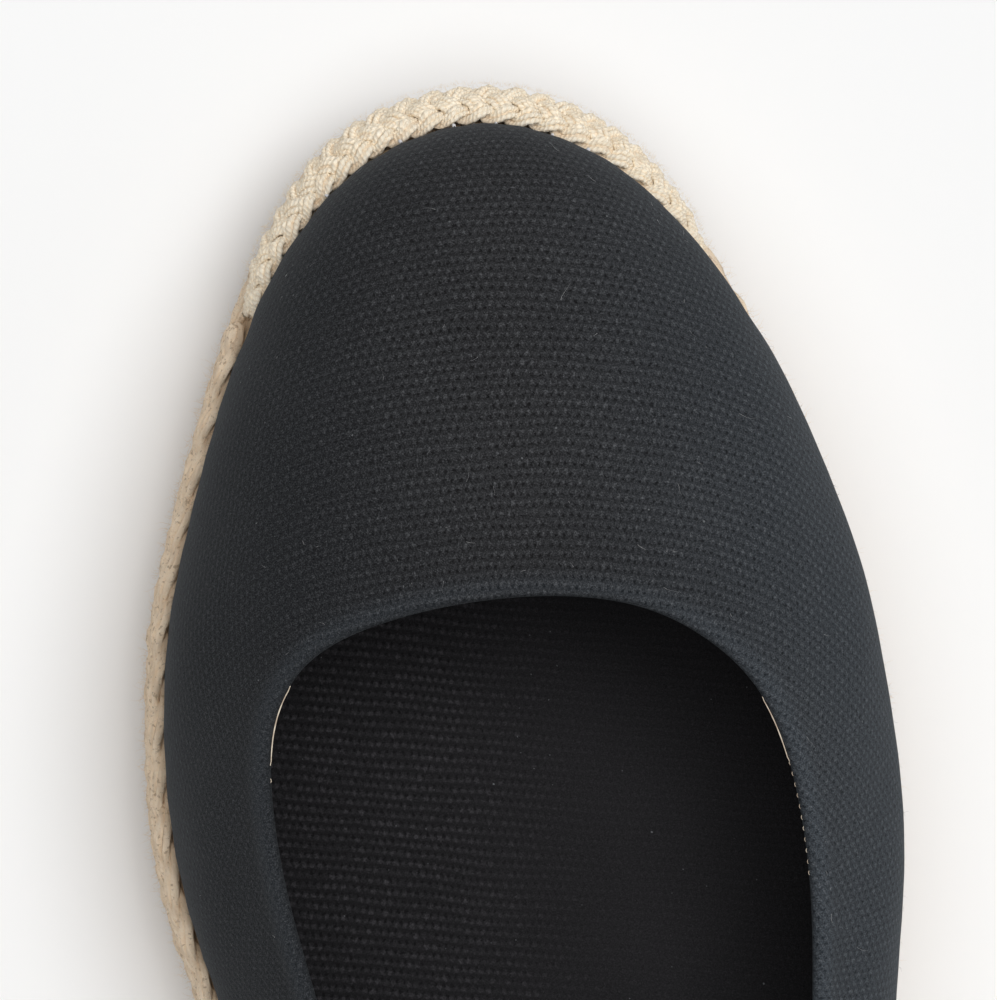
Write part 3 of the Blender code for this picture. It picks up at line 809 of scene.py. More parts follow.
class Graph:
    """Short calls for building one material's nodes. A value is a number or another node's socket."""

    def __init__(self, name):
        self.material = bpy.data.materials.new(name)
        self.material.use_nodes = True
        self.tree = self.material.node_tree
        self.shader = self.tree.nodes["Principled BSDF"]
        self.place = self.node("ShaderNodeTexCoord").outputs["Object"]

    def node(self, kind, *values, **settings):
        """A new node, with its inputs filled from the first one on."""
        made = self.tree.nodes.new(kind)
        for name, value in settings.items():
            setattr(made, name, value)
        for value, socket in zip(values, made.inputs):
            self.plug(value, socket)
        return made

    def plug(self, value, socket):
        if isinstance(value, bpy.types.NodeSocket):
            self.tree.links.new(value, socket)
        else:
            socket.default_value = value

    def math(self, operation, *values):
        return self.node("ShaderNodeMath", *values, operation=operation).outputs[0]

    def add(self, total, *values):
        for value in values:
            total = self.math("ADD", total, value)
        return total

    def times(self, product, *values):
        for value in values:
            product = self.math("MULTIPLY", product, value)
        return product

    def less(self, first, second):
        return self.math("SUBTRACT", first, second)

    def per(self, first, second):
        return self.math("DIVIDE", first, second)

    def size_of(self, value):
        return self.math("ABSOLUTE", value)

    def vector(self, operation, *values):
        return self.node("ShaderNodeVectorMath", *values, operation=operation).outputs[0]

    def join(self, x, y, z=0.0):
        return self.node("ShaderNodeCombineXYZ", x, y, z).outputs[0]

    def split(self, vector):
        return self.node("ShaderNodeSeparateXYZ", vector).outputs

    def noise(self, vector, scale, detail=2.0, roughness=0.5):
        made = self.node("ShaderNodeTexNoise")
        values = {"Vector": vector, "Scale": scale, "Detail": detail, "Roughness": roughness}
        for name, value in values.items():
            self.plug(value, made.inputs[name])
        return made.outputs[0]

    def remap(self, value, low, high, to_low=0.0, to_high=1.0, soft=True):
        """Steps from one number to another while the value goes from low to high."""
        step = "SMOOTHSTEP" if soft else "LINEAR"
        made = self.node("ShaderNodeMapRange", value, low, high, to_low, to_high,
                         interpolation_type=step)
        return made.outputs[0]

    def blend(self, factor, first, second):
        made = self.node("ShaderNodeMix", data_type="RGBA")
        self.plug(factor, made.inputs[0])
        for value, socket in ((first, made.inputs[6]), (second, made.inputs[7])):
            self.plug(value if isinstance(value, bpy.types.NodeSocket) else (*value, 1.0), socket)
        return made.outputs[2]

    def patches(self, color, other, value, low, high, amount):
        """Another color where the value is high, as strong as the amount at most."""
        return self.blend(self.times(self.remap(value, low, high), amount), color, other)

    def cloth_map(self):
        """The piece's own map, as two numbers in metres."""
        parts = self.split(self.node("ShaderNodeUVMap", uv_map="cloth").outputs[0])
        return parts[0], parts[1]

    def spot(self, x, y, x_radius, y_radius):
        """A soft round spot: 1 where x and y are 0, and 0 from the radii outwards."""
        x = self.math("POWER", self.per(self.size_of(x), x_radius), 2.0)
        y = self.math("POWER", self.per(self.size_of(y), y_radius), 2.0)
        return self.remap(self.math("SQRT", self.add(x, y)), 1.0, 0.35)

    # The depth attribute: painted shade deep in plaits, and wear with painted highlight on cloth
    def depth(self):
        return self.node("ShaderNodeAttribute", attribute_name="depth").outputs["Fac"]

    def finish(self, color, roughness, height, distance, strength=1.0, **shader_values):
        self.plug(color, self.shader.inputs["Base Color"])
        self.plug(roughness, self.shader.inputs["Roughness"])
        bump = self.node("ShaderNodeBump")
        self.plug(height, bump.inputs["Height"])
        bump.inputs["Distance"].default_value = distance
        bump.inputs["Strength"].default_value = strength
        self.plug(bump.outputs[0], self.shader.inputs["Normal"])
        for name, value in shader_values.items():
            self.shader.inputs[name.replace("_", " ")].default_value = value
        return self.material


NO_COLOR = (0.0, 0.0, 0.0)


def canvas_material(name, bead_pitch, row_pitch, thread, painted_highlight_thread, pit_shade_color, highlight_strength, grain_amount,
                    top_radii, row_groove_shade, painted_light_peak_at, painted_light_fade, middle_painted_light, lateral_painted_light):
    """Plain-woven cotton: small bead tops in staggered rows with pits beside them, fluff and grain.

    The bead tops carry painted highlights, and the pits and the grooves between rows carry painted
    shade. These show most strongly at one x across the shoe and fade with how the light falls across
    it; painted_light_fade gives two distances from there and the shares at them. Painted light is
    added along the shoe's middle and lateral side, where the lamps light the cloth more, and negative
    amounts paint shade there. Where depth is high the cloth is lighter and bluer, for wear and fuzz
    and for a painted highlight where the rolled collar catches the light."""
    graph = Graph(name)
    add, times, less, noise, remap = graph.add, graph.times, graph.less, graph.noise, graph.remap
    u, v = graph.cloth_map()
    place = graph.join(u, v)

    # Places in the weave, in beads and rows, bent so that no two rows run quite alike
    wobble = less(noise(place, 1100.0, 3.0, 0.7), 0.5)
    drift = less(noise(place, 55.0), 0.5)
    jitter = less(noise(place, 3100.0, 2.0, 0.7), 0.5)
    other = less(noise(graph.vector("ADD", place, (0.7, 0.4, 0.3)), 3100.0, 2.0, 0.7), 0.5)
    u, v = graph.per(u, bead_pitch), graph.per(v, row_pitch)
    u = add(u, times(wobble, 0.75), times(drift, 1.6), times(jitter, 0.75))
    v = add(v, times(drift, 1.3), times(wobble, -0.55), times(other, 0.65))
    row = graph.math("ROUND", v)
    aside = less(v, row)
    u = add(u, times(graph.math("FLOORED_MODULO", row, 2.0), 0.5))
    bead = graph.math("FLOOR", u)
    along = less(less(u, bead), 0.5)
    own = graph.node("ShaderNodeTexWhiteNoise", graph.join(bead, row), noise_dimensions="2D")
    own = own.outputs["Value"]

    # How strongly the weave's painted highlights and shade show, which changes with x as the light falls,
    # the cloth's unevenness, and the tops (painted highlights), pits and grooves (painted shade)
    x = graph.split(graph.place)[0]
    painted_light_share = remap(graph.size_of(less(x, painted_light_peak_at)), *painted_light_fade)
    uneven = noise(place, 1500.0, 2.0, 0.6)
    fluff = noise(place, 3800.0, 3.0, 0.8)
    grain = noise(place, 6800.0, 1.0, 0.6)
    fade = noise(graph.place, 30.0, 3.0, 0.55)
    wear_and_highlight = graph.depth()
    top = graph.spot(along, add(aside, 0.06), *top_radii)
    pit = graph.spot(less(0.5, graph.size_of(along)), less(aside, 0.26), 0.28, 0.28)
    pit = times(pit, remap(uneven, 0.34, 0.54, 0.25, 1.0))
    groove = remap(graph.size_of(aside), 0.24, 0.50, 0.0, row_groove_shade)

    # From the thread to its tops in painted highlight, then painted light along the middle and lateral
    # side, painted shade in pits and grooves, wear with painted highlight at the collar, grit and pale
    # specks
    light = times(remap(own, 0.0, 1.0, 0.15, 1.0, soft=False), top, remap(fluff, 0.34, 0.58, 0.25, 1.0),
                  highlight_strength, painted_light_share)
    light = add(light, remap(fluff, 0.40, 0.76, 0.0, grain_amount),
                remap(grain, 0.50, 0.68, 0.0, grain_amount), remap(fade, 0.40, 0.70, 0.0, 0.06),
                times(wear_and_highlight, 0.12))
    # Painted light along the middle and lateral side, where the lamps fall more; negative amounts paint
    # shade
    painted_side_light = graph.blend(remap(x, -0.032, 0.000), NO_COLOR, middle_painted_light)
    painted_side_light = graph.blend(remap(x, -0.004, 0.043), painted_side_light, lateral_painted_light)
    color = graph.vector("ADD", graph.blend(light, thread, painted_highlight_thread), painted_side_light)
    # Painted shade in the pits and in the grooves between rows
    shade = times(graph.math("MAXIMUM", groove, pit), painted_light_share, 0.82)
    dim_painted_side_light = graph.vector("MULTIPLY", painted_side_light, (0.35, 0.35, 0.35))
    color = graph.blend(shade, color, graph.vector("ADD", dim_painted_side_light, pit_shade_color))
    # Wear and painted highlight at the collar: lighter and a little bluer
    color = graph.vector("ADD", color, graph.blend(wear_and_highlight, NO_COLOR, (0.002, 0.004, 0.006)))
    grit = remap(noise(place, 4300.0, 2.0, 0.8), 0.36, 0.64, 1 - grain_amount, 1 + grain_amount)
    color = graph.vector("MULTIPLY", color, graph.join(grit, grit, grit))
    color = graph.blend(remap(noise(place, 1700.0, 0.0), 0.86, 0.90, 0.0, 0.5), color, (0.20, 0.21, 0.22))

    height = add(less(times(top, 0.7), times(pit, 0.6)), times(fluff, 0.8))
    return graph.finish(color, remap(fluff, 0.2, 0.8, 0.82, 0.96), height, 0.00009, 0.85,
                        Specular_IOR_Level=0.12, Sheen_Weight=0.05, Sheen_Roughness=0.4,
                        Sheen_Tint=(0.82, 0.92, 1.0, 1.0))


def yarn_material(name, light, middle, dark, fleck, pitch, fleck_amount, fleck_scale, groove_shade,
                  deep_shade, relief):
    """Twisted yarn: oblique plies with painted shade in their grooves, stray fibres, uneven dye, and
    painted shade deep between strands.
    """
    graph = Graph(name)
    add, times, noise, remap = graph.add, graph.times, graph.noise, graph.remap
    u, v = graph.cloth_map()
    around = times(v, 2 * math.pi)
    twist = graph.math("SINE", add(times(u, 2 * math.pi / pitch), times(around, 2.0)))
    skin = graph.join(times(u, 1400.0), times(graph.math("COSINE", around), 2.4),
                      times(graph.math("SINE", around), 2.4))
    fibre = noise(skin, 1.0, 4.0, 0.7)
    patch = noise(graph.place, 560.0, 4.0, 0.7)
    grain = noise(graph.place, 3600.0, 3.0, 0.7)
    spots = noise(graph.place, fleck_scale, 3.0, 0.6)
    tone = add(times(patch, 0.5), times(grain, 0.5))
    color = graph.blend(remap(tone, 0.36, 0.64), middle, light)
    # Painted shade in the grooves of the twist
    color = graph.patches(color, dark, times(twist, -1.0), 0.25, 1.0, groove_shade)
    color = graph.patches(color, fleck, spots, 0.66 - fleck_amount, 0.74 - fleck_amount, 0.6)
    # Painted shade deep in the plait, where the depth is low
    color = graph.patches(color, dark, graph.depth(), 0.62, 0.05, deep_shade)
    height = add(times(twist, 0.45), times(fibre, 0.9), times(grain, 1.1))
    roughness = remap(fibre, 0.3, 0.7, 0.80, 0.97, soft=False)
    return graph.finish(color, roughness, height, relief, 0.8, Specular_IOR_Level=0.2,
                        Sheen_Weight=0.10)


def fibre_material(name, light, dark):
    """Loose hairs and threads."""
    graph = Graph(name)
    tone = graph.noise(graph.place, 900.0)
    color = graph.blend(graph.remap(tone, 0.35, 0.65), dark, light)
    return graph.finish(color, graph.remap(tone, 0.3, 0.7, 0.7, 0.9), tone, 0.00003)


def rubber_material():
    """Natural rubber, matt, with cloudy color, pale scuffs and fine dark pores."""
    graph = Graph("rubber_natural")
    pores = graph.noise(graph.place, 2600.0, 3.0, 0.6)
    cloud = graph.noise(graph.place, 70.0, 4.0, 0.6)
    scuff = graph.noise(graph.vector("MULTIPLY", graph.place, (900.0, 120.0, 900.0)), 1.0, 3.0)
    color = graph.blend(graph.remap(cloud, 0.35, 0.68), (0.36, 0.235, 0.125), (0.50, 0.345, 0.20))
    color = graph.patches(color, (0.60, 0.48, 0.34), scuff, 0.56, 0.74, 0.35)
    color = graph.patches(color, (0.22, 0.14, 0.08), pores, 0.60, 0.75, 0.4)
    height = graph.add(graph.times(pores, 0.7), graph.times(scuff, 0.4))
    return graph.finish(color, graph.remap(cloud, 0.3, 0.7, 0.58, 0.78), height, 0.00012, 0.7)


def jute_core_material():
    """Packed jute fibre under and between the plaits."""
    graph = Graph("jute_core")
    strands = graph.noise(graph.vector("MULTIPLY", graph.place, (420.0, 420.0, 2600.0)), 1.0, 5.0, 0.7)
    fluff = graph.noise(graph.place, 2400.0, 4.0, 0.7)
    patch = graph.noise(graph.place, 150.0, 3.0)
    color = graph.blend(graph.remap(strands, 0.34, 0.66), (0.36, 0.22, 0.115), (0.66, 0.50, 0.33))
    color = graph.patches(color, (0.70, 0.53, 0.36), patch, 0.4, 0.7, 0.5)
    height = graph.add(strands, graph.times(fluff, 0.6))
    return graph.finish(color, graph.remap(fluff, 0.3, 0.7, 0.85, 0.98), height, 0.0005, 0.9)


def floor_material():
    """Pale matt floor with a barely visible unevenness."""
    graph = Graph("pale_floor")
    cloud = graph.noise(graph.place, 3.0)
    color = graph.blend(cloud, (0.884, 0.886, 0.886), (0.899, 0.901, 0.901))
    return graph.finish(color, graph.remap(cloud, 0.3, 0.7, 0.85, 0.95), cloud, 0.0001, 0.1)


# The lateral side is painted lighter and bluer, as the key light comes from that side
canvas_cloth = canvas_material(
    "canvas_black", CANVAS_BEAD, CANVAS_ROW,
    thread=(0.0076, 0.0085, 0.0100), painted_highlight_thread=(0.068, 0.071, 0.076),
    pit_shade_color=(0.0012, 0.0013, 0.0016), highlight_strength=0.62, grain_amount=0.44,
    top_radii=(0.27, 0.38), row_groove_shade=0.36, painted_light_peak_at=0.016, painted_light_fade=(0.020, 0.052, 1.0, 0.42),
    middle_painted_light=(0.0054, 0.0046, 0.0044), lateral_painted_light=(0.0214, 0.0262, 0.0315),
)
lining_cloth = canvas_material(
    "lining_black", CANVAS_BEAD, CANVAS_ROW,
    thread=(0.0085, 0.0087, 0.0097), painted_highlight_thread=(0.034, 0.035, 0.038),
    pit_shade_color=(0.0020, 0.0020, 0.0024), highlight_strength=0.4, grain_amount=0.35,
    top_radii=(0.27, 0.40), row_groove_shade=0.42, painted_light_peak_at=0.018, painted_light_fade=(0.024, 0.056, 0.8, 0.5),
    middle_painted_light=(0.001, 0.001, 0.001), lateral_painted_light=(0.001, 0.001, 0.001),
)
# The insole is painted darker towards its lateral side, in the shade of the lateral wall, and its painted
# weave fades there
insole_cloth = canvas_material(
    "insole_black", INSOLE_BEAD, INSOLE_ROW,
    thread=(0.0090, 0.0088, 0.0097), painted_highlight_thread=(0.042, 0.040, 0.044),
    pit_shade_color=(0.0028, 0.0026, 0.0031), highlight_strength=0.72, grain_amount=0.22,
    top_radii=(0.46, 0.34), row_groove_shade=0.50, painted_light_peak_at=-0.030, painted_light_fade=(0.014, 0.040, 1.0, 0.15),
    middle_painted_light=(-0.0030, -0.0030, -0.0030), lateral_painted_light=(-0.0024, -0.0024, -0.0026),
)
# dark is the painted shade in the twist grooves and deep in the plaits
cotton_yarn = yarn_material(
    "cotton_yarn", light=(1.0, 0.92, 0.77), middle=(1.0, 0.87, 0.67), dark=(0.74, 0.54, 0.35),
    fleck=(0.82, 0.62, 0.42), pitch=0.00052, fleck_amount=-0.03, fleck_scale=1300.0,
    groove_shade=0.36, deep_shade=0.45, relief=0.00010,
)
jute_yarn = yarn_material(
    "jute_yarn", light=(1.0, 0.84, 0.65), middle=(0.93, 0.73, 0.52), dark=(0.44, 0.30, 0.18),
    fleck=(0.36, 0.23, 0.13), pitch=0.0046, fleck_amount=0.09, fleck_scale=1700.0,
    groove_shade=0.22, deep_shade=0.50, relief=0.00026,
)
jute_inside = jute_core_material()
cream_thread = fibre_material("cream_thread", (0.80, 0.70, 0.56), (0.58, 0.46, 0.35))
white_thread = fibre_material("white_thread", (0.90, 0.90, 0.92), (0.70, 0.70, 0.74))
cotton_hair = fibre_material("cotton_hair", (0.92, 0.84, 0.70), (0.72, 0.60, 0.45))
jute_hair = fibre_material("jute_hair", (0.88, 0.74, 0.56), (0.72, 0.55, 0.37))
lint_hair = fibre_material("lint_hair", (0.42, 0.42, 0.42), (0.20, 0.20, 0.21))
canvas_hair = fibre_material("canvas_hair", (0.070, 0.076, 0.084), (0.016, 0.017, 0.020))
natural_rubber = rubber_material()


# Upper


def upper_with_folds(turns, shares):
    """The upper's outer face with its soft unevenness, pulled foot edge, hem ridge and back seam,
    and a mask of wear and painted highlight: most at the collar, whose rolled edge catches the light,
    and a little wear at the foot."""
    outer = upper_surface(turns, shares)
    normals = surface_normals(outer)
    t = shares[:, None]
    turn = turns[None, :] % 1.0
    around = 2 * math.pi * turns[None, :]
    girth = SOLE.lengths[-1]
    steps = np.linalg.norm(np.diff(outer, axis=0), axis=2)
    from_foot = np.vstack([np.zeros(len(turns)), np.cumsum(steps, axis=0)])
    hem = (from_foot[-1] - from_foot) / HEM_WIDTH
    pulls = np.cos(around * girth / FOOT_PULL_PITCH + 1.3 * np.sin(9 * around))
    pulled = -FOOT_PULL * (1 + pulls) * np.exp(-from_foot / FOOT_PULL_FADE)
    waves = LONG_WAVE * np.sin(7 * around + 5.0 * t + 0.6)
    waves = waves + SHORT_WAVE * np.sin(17 * around - 9.0 * t + 1.9)
    ridge = HEM_RIDGE * bell((hem - 1.0) / math.sqrt(0.6))
    from_seam = np.abs(turn - 0.5) * girth
    seam = SEAM_RIDGE * bell((from_seam - SEAM_RIDGE_ASIDE) / 0.0006)
    seam = seam - SEAM_GROOVE * bell(from_seam / 0.00045)
    full = TOE_FULLNESS * bell((turn - 0.085) / 0.04)
    full = full + LATERAL_FULLNESS * smooth((turn - 0.15) / 0.08) * smooth((0.46 - turn) / 0.10)
    full = full * np.sin(math.pi * np.clip(t * 1.15 + 0.12, 0, 1))
    lift = pulled + waves * np.sin(math.pi * t) + ridge + seam + full
    # Wear and painted highlight along the collar's edge, and a little wear at the foot
    wear_and_highlight = bell(hem / 1.3) + 0.35 * bell(from_foot / 0.0012)
    return outer + lift[:, :, None] * normals, np.clip(wear_and_highlight, 0.0, 1.0)


def canvas_map(shares):
    """Flat places of the upper's outer face, read from a coarser grid that is laid flat."""
    turns = column_turns(FLAT_COLUMNS, 0.5, extra=1)
    turns[-1] -= 1e-6
    flat = flat_cloth(upper_surface(turns, np.linspace(0.0, 1.0, FLAT_ROWS)))
    even = np.linspace(0, FLAT_COLUMNS, CANVAS_COLUMNS + 1)
    fine = np.array([read_rows(even, np.arange(FLAT_COLUMNS + 1), row) for row in flat])
    level = shares * (FLAT_ROWS - 1)
    low = np.clip(np.floor(level).astype(int), 0, FLAT_ROWS - 2)
    part = (level - low)[:, None, None]
    return fine[low] * (1 - part) + fine[low + 1] * part


def build_upper():
    """Canvas shell: outer face, rolled lip and inner face, with the weave laid out flat."""
    turns = column_turns(CANVAS_COLUMNS, 0.5)
    shares = np.linspace(0.0, 1.0, CANVAS_ROWS)
    shares = shares - 0.7 * np.sin(2 * math.pi * shares) / (2 * math.pi)
    outer, wear_and_highlight = upper_with_folds(turns, shares)
    normals = surface_normals(outer)
    level = normals[0].copy()
    level[:, 2] = 0.0
    normals[0] = unit(level)
    picked = np.round(np.linspace(0, CANVAS_ROWS - 1, LINING_ROWS)).astype(int)
    inner = (outer - WALL * normals)[picked]
    tangent = unit(outer[-1] - outer[-2])
    middle = (outer[-1] + inner[-1]) / 2
    cloth = canvas_map(shares)
    edge_way = unit(cloth[-1] - cloth[-2])
    lip, lip_cloth = [], []
    for row in range(1, LIP_ROWS + 1):
        angle = math.pi * row / (LIP_ROWS + 1)
        side = math.cos(angle) * normals[-1] + math.sin(angle) * tangent
        lip.append(middle + WALL / 2 * side)
        lip_cloth.append(cloth[-1] + edge_way * LIP_LENGTH * row / (LIP_ROWS + 1))
    grid = np.stack([*outer, *lip, *reversed(inner)])
    cloth = np.stack([*cloth, *lip_cloth, *reversed(cloth[picked])])
    # Wear and painted highlight round the rolled lip, fading to none where it meets the lining
    lip_wear_and_highlight = np.linspace(0.9, 0.0, LIP_ROWS)[:, None] * np.ones(CANVAS_COLUMNS)
    cloth_wear_and_highlight = np.vstack([wear_and_highlight, lip_wear_and_highlight, np.zeros((LINING_ROWS, CANVAS_COLUMNS))])
    faces, rows_of, columns_of = grid_faces(len(grid), CANVAS_COLUMNS)
    uv = cloth[rows_of, columns_of]
    lined = rows_of[:, 0] >= CANVAS_ROWS + LIP_ROWS - 2

    # The edge at the foot, from the inner face back to the outer one
    bottom = len(grid) - 1
    column = np.arange(CANVAS_COLUMNS)
    columns_of = np.column_stack([column, column + 1, column + 1, column])
    foot = np.array([bottom, bottom, 0, 0]) * CANVAS_COLUMNS + columns_of % CANVAS_COLUMNS
    foot_uv = cloth[[bottom, bottom, 0, 0], columns_of]
    faces = np.vstack([faces, foot])[:, ::-1]
    uv = np.vstack([uv, foot_uv])[:, ::-1]
    face_materials = np.append(lined, np.ones(CANVAS_COLUMNS))
    add_mesh("canvas_upper", grid.reshape(-1, 3), faces, [canvas_cloth, lining_cloth], "canvas",
             uv, cloth_wear_and_highlight.ravel(), face_materials, "upper")
    return turns, outer, normals, middle, tangent


def build_collar_threads(turns, normals, middle, tangent):
    """Seam thread along the inner side of the rolled collar: a long bit, then stitches."""
    side = math.cos(COLLAR_THREAD_ANGLE) * normals[-1] + math.sin(COLLAR_THREAD_ANGLE) * tangent
    line = middle + (WALL / 2 + COLLAR_THREAD_PROUD) * side
    order = np.argsort(turns % 1.0)
    turns, line, side = (turns % 1.0)[order], line[order], side[order]
    along = lengths_along(line)
    shares = line[:, 1] / SOLE_LENGTH
    tubes = []
    for medial, run, stitches, thickness in COLLAR_THREADS:
        chosen = np.flatnonzero((turns > 0.5) == medial)
        chosen = chosen[np.argsort(shares[chosen])]
        start, stop = sorted(np.interp(run, shares[chosen], along[chosen]))
        place, last = sorted(np.interp(stitches, shares[chosen], along[chosen]))
        bits = [(start, stop, thickness)]
        while place + STITCH_ROOM < last:
            bits.append((place, place + STITCH_LENGTH, thickness / 2))
            place += STITCH_PITCH
        for start, stop, radius in bits:
            count = max(5, int((stop - start) / THREAD_STEP))
            places = np.linspace(start, stop, count)
            out = read_rows(places, along, side)
            to_end = np.minimum(places - start, stop - places)
            dip = COLLAR_THREAD_DIP * (1 - np.minimum(1, to_end / COLLAR_THREAD_DIP_RUN))
            path = read_rows(places, along, line) - dip[:, None] * out
            radius = radius * np.sin(np.pi * np.linspace(0.06, 0.94, count)) ** 0.3
            tubes.append(tube(path, out, radius, sides=6, ply=0.12, ply_pitch=0.0007))
    points, faces, uv, _ = join_tubes(tubes)
    add_mesh("collar_threads", points, faces, [cream_thread], "cotton_cord", uv)


def build_toe_stitches(turns, outer, normals):
    """White thread that shows in short bits where the canvas is sewn down behind the braid."""
    turns = (turns + 0.5) % 1.0 - 0.5
    order = np.argsort(turns)
    low_rows = slice(0, 24)
    points, ways = outer[low_rows, order], normals[low_rows, order]
    along = lengths_along(points[0])
    tip = np.interp(0.0, turns[order], along)
    heights, outs = np.array(TOE_STITCH_PATH).T
    count = 13
    tubes = []
    for from_tip in TOE_STITCHES_FROM_TIP:
        size = random.uniform(0.8, 1.2)
        column = np.array([read_rows(tip + from_tip, along, row)[0] for row in points])
        column_ways = np.array([read_rows(tip + from_tip, along, row)[0] for row in ways])
        rise = column[:, 2] - column[0, 2]
        way = read_rows(heights, rise, column_ways)
        path = read_rows(heights, rise, column) + size * outs[:, None] * way
        path = read_rows(np.linspace(0, len(path) - 1, count), np.arange(len(path)), path)
        radius = TOE_STITCH_RADIUS * size * np.sin(np.pi * np.linspace(0.12, 0.88, count)) ** 0.5
        out = np.tile(way[-1], (count, 1))
        tubes.append(tube(path, out, radius, sides=7, ply=0.15, ply_pitch=0.0006))
    points, faces, uv, _ = join_tubes(tubes)
    add_mesh("toe_stitches", points, faces, [white_thread], "cotton_cord", uv)


def build_lint(outer, normals):
    """Stray light hairs that lie on the canvas, most of them on the vamp, and its own dark fuzz."""
    rows = random.integers(4, CANVAS_ROWS - 6, LINT_COUNT)
    columns = CANVAS_COLUMNS // 2 + random.normal(0, CANVAS_COLUMNS * 0.17, LINT_COUNT)
    columns = columns.astype(int) % CANVAS_COLUMNS
    upward = normals[rows, columns]
    flat = np.cross(upward, unit(random.normal(size=(LINT_COUNT, 3))))
    ways = unit(unit(flat) + 0.10 * upward)
    lengths = LINT_LENGTH * random.uniform(0.25, 1.0, LINT_COUNT) ** 2
    roots = outer[rows, columns] + 0.00006 * upward
    points, faces = hairs(roots, ways, lengths, 0.000022, 0.5)
    add_mesh("canvas_lint", points, faces, [lint_hair], "canvas")

    rows = random.integers(2, CANVAS_ROWS - 1, CANVAS_FUZZ_COUNT)
    columns = random.integers(0, CANVAS_COLUMNS, CANVAS_FUZZ_COUNT)
    upward = normals[rows, columns]
    ways = unit(0.8 * upward + 0.6 * random.normal(size=(CANVAS_FUZZ_COUNT, 3)))
    lengths = CANVAS_FUZZ_LENGTH * random.uniform(0.3, 1.0, CANVAS_FUZZ_COUNT)
    points, faces = hairs(outer[rows, columns], ways, lengths, 0.000016, 0.8)
    add_mesh("canvas_fuzz", points, faces, [canvas_hair], "canvas")


# Sole


def build_toe_braid():
    """Cotton plait round the toe, over the model's smooth strip, tucked in at both ends."""
    start = -turn_behind_tip(TOE_PLAIT_MEDIAL_REACH, medial=True)
    stop = turn_behind_tip(TOE_PLAIT_LATERAL_REACH, medial=False)
    turns = np.linspace(start, stop, 400)
    centre, up, inward = braid_frame(turns)
    plan_out = SOLE.outward(turns)
    points = ring(turns, centre[:, 0], top_height)
    points[:, 2] += centre[:, 1]
    across = np.column_stack([-up[:, :1] * plan_out, up[:, 1]])
    outward = unit(-np.column_stack([-inward[:, :1] * plan_out, inward[:, 1]]))
    passed = lengths_along(points)
    to_end = np.minimum(passed, passed[-1] - passed)
    tuck = TOE_PLAIT_TUCK * (1 - smooth(to_end / TOE_PLAIT_TUCK_RUN))
    points += (TOE_PLAIT_PROUD - tuck)[:, None] * outward
    track = Track(points, across, outward, bend=TOE_PLAIT_BEND)
    points, faces, uv, depth = join_tubes(*plait(track, **TOE_PLAIT, taper=0.006))
    add_mesh("toe_plait", points, faces, [cotton_yarn], "cotton_cord", uv, depth, node="toe_braid")
    add_mesh("toe_plait_fuzz", *plait_fuzz(track, **TOE_FUZZ), [cotton_hair], "cotton_cord")


def side_level(share):
    """Height of a share of the way up the two jute plaits."""
    start = RUBBER_THICKNESS + GAP + RIM_RISE

    def height(y):
        low = bottom_height(y) + start
        return low + share * (top_height(y) - low)

    return height


def build_jute_core():
    """Packed jute with two low bulges round its side, which the plaits cover."""
    turns = column_turns(SOLE_COLUMNS)
    zone = braid_zone(turns)
    foot = RUBBER_THICKNESS + GAP
    foot_inset = RIM_INSET + RIM_WALL + GAP
    bulge_height = (BALL_HEIGHT - foot - RIM_RISE) / 2
    steps = 8
    rings = []
    for row in range(2 * steps + 1):
        upper = row <= steps
        angle = math.pi * (row if upper else row - steps) / steps
        down = (1 - math.cos(angle)) / 2
        inset = JUTE_CORE_SUNK + PLAIT_DEPTH * (1 - math.sin(angle))
        if upper:
            seat = np.maximum(recess_line(turns, -down * bulge_height), inset)
            rings.append(ring(turns, inset + (seat - inset) * zone, side_level(1 - down / 2)))
        else:
            inset = max(inset, foot_inset) if row == 2 * steps else inset
            rings.append(ring(turns, inset, side_level(0.5 - down / 2)))
    rings.append(ring(turns, foot_inset, lambda y: bottom_height(y) + foot))
    add_mesh("jute_core", np.vstack(rings), capped_faces(len(rings)), [jute_inside], "jute",
             node="jute_sole")


def build_jute_plaits():
    """Two plaits round the sole's side. The upper one ends under the toe braid."""
    start = turn_behind_tip(JUTE_PLAIT_LATERAL_REACH, medial=False)
    stop = 1 - turn_behind_tip(JUTE_PLAIT_MEDIAL_REACH, medial=True)
    count = 900
    for name, share, turns, closed, taper in (
        ("jute_plait_low", 0.25, np.arange(count) / count, True, 0.0),
        ("jute_plait_high", 0.75, np.linspace(start, stop, count), False, 0.004),
    ):
        inset = JUTE_PLAIT_INSET + JUTE_PLAIT_SWAY * np.sin(2 * math.pi * turns)
        centre = ring(turns, inset, side_level(share))
        outward = np.column_stack([SOLE.outward(turns), np.zeros(count)])
        upward = np.tile([0.0, 0.0, 1.0], (count, 1))
        track = Track(centre, upward, outward, closed, JUTE_PLAIT_BEND)
        points, faces, uv, depth = join_tubes(*plait(track, **JUTE_PLAIT, taper=taper))
        add_mesh(name, points, faces, [jute_yarn], "jute", uv, depth)
        add_mesh(name + "_fuzz", *plait_fuzz(track, **JUTE_FUZZ), [jute_hair], "jute")


def tread_point(lateral, medial, step, column):
    """A point on the line across the tread, up in a zigzag groove or down on the ground."""
    point = lateral + (medial - lateral) * column / TREAD_COLUMNS
    to_side = min(column, TREAD_COLUMNS - column) / TREAD_COLUMNS
    border = to_side * np.linalg.norm(medial - lateral)
    to_tip = min(step, SOLE_COLUMNS // 2 - step)
    fade = smooth((border - TREAD_BORDER) / 0.002) * smooth((to_tip - 4) / 4)
    zigzag = 2 * abs((point[0] / TREAD_ZIGZAG_WIDTH) % 1.0 - 0.5)
    wave = (point[1] + zigzag * TREAD_ZIGZAG_REACH) / TREAD_PITCH
    groove = 0.5 + 0.5 * math.cos(2 * math.pi * wave)
    depth = TREAD_DEPTH * fade * smooth((groove - 0.55) / 0.25)
    point[2] = bottom_height(point[1]) + depth
    return point


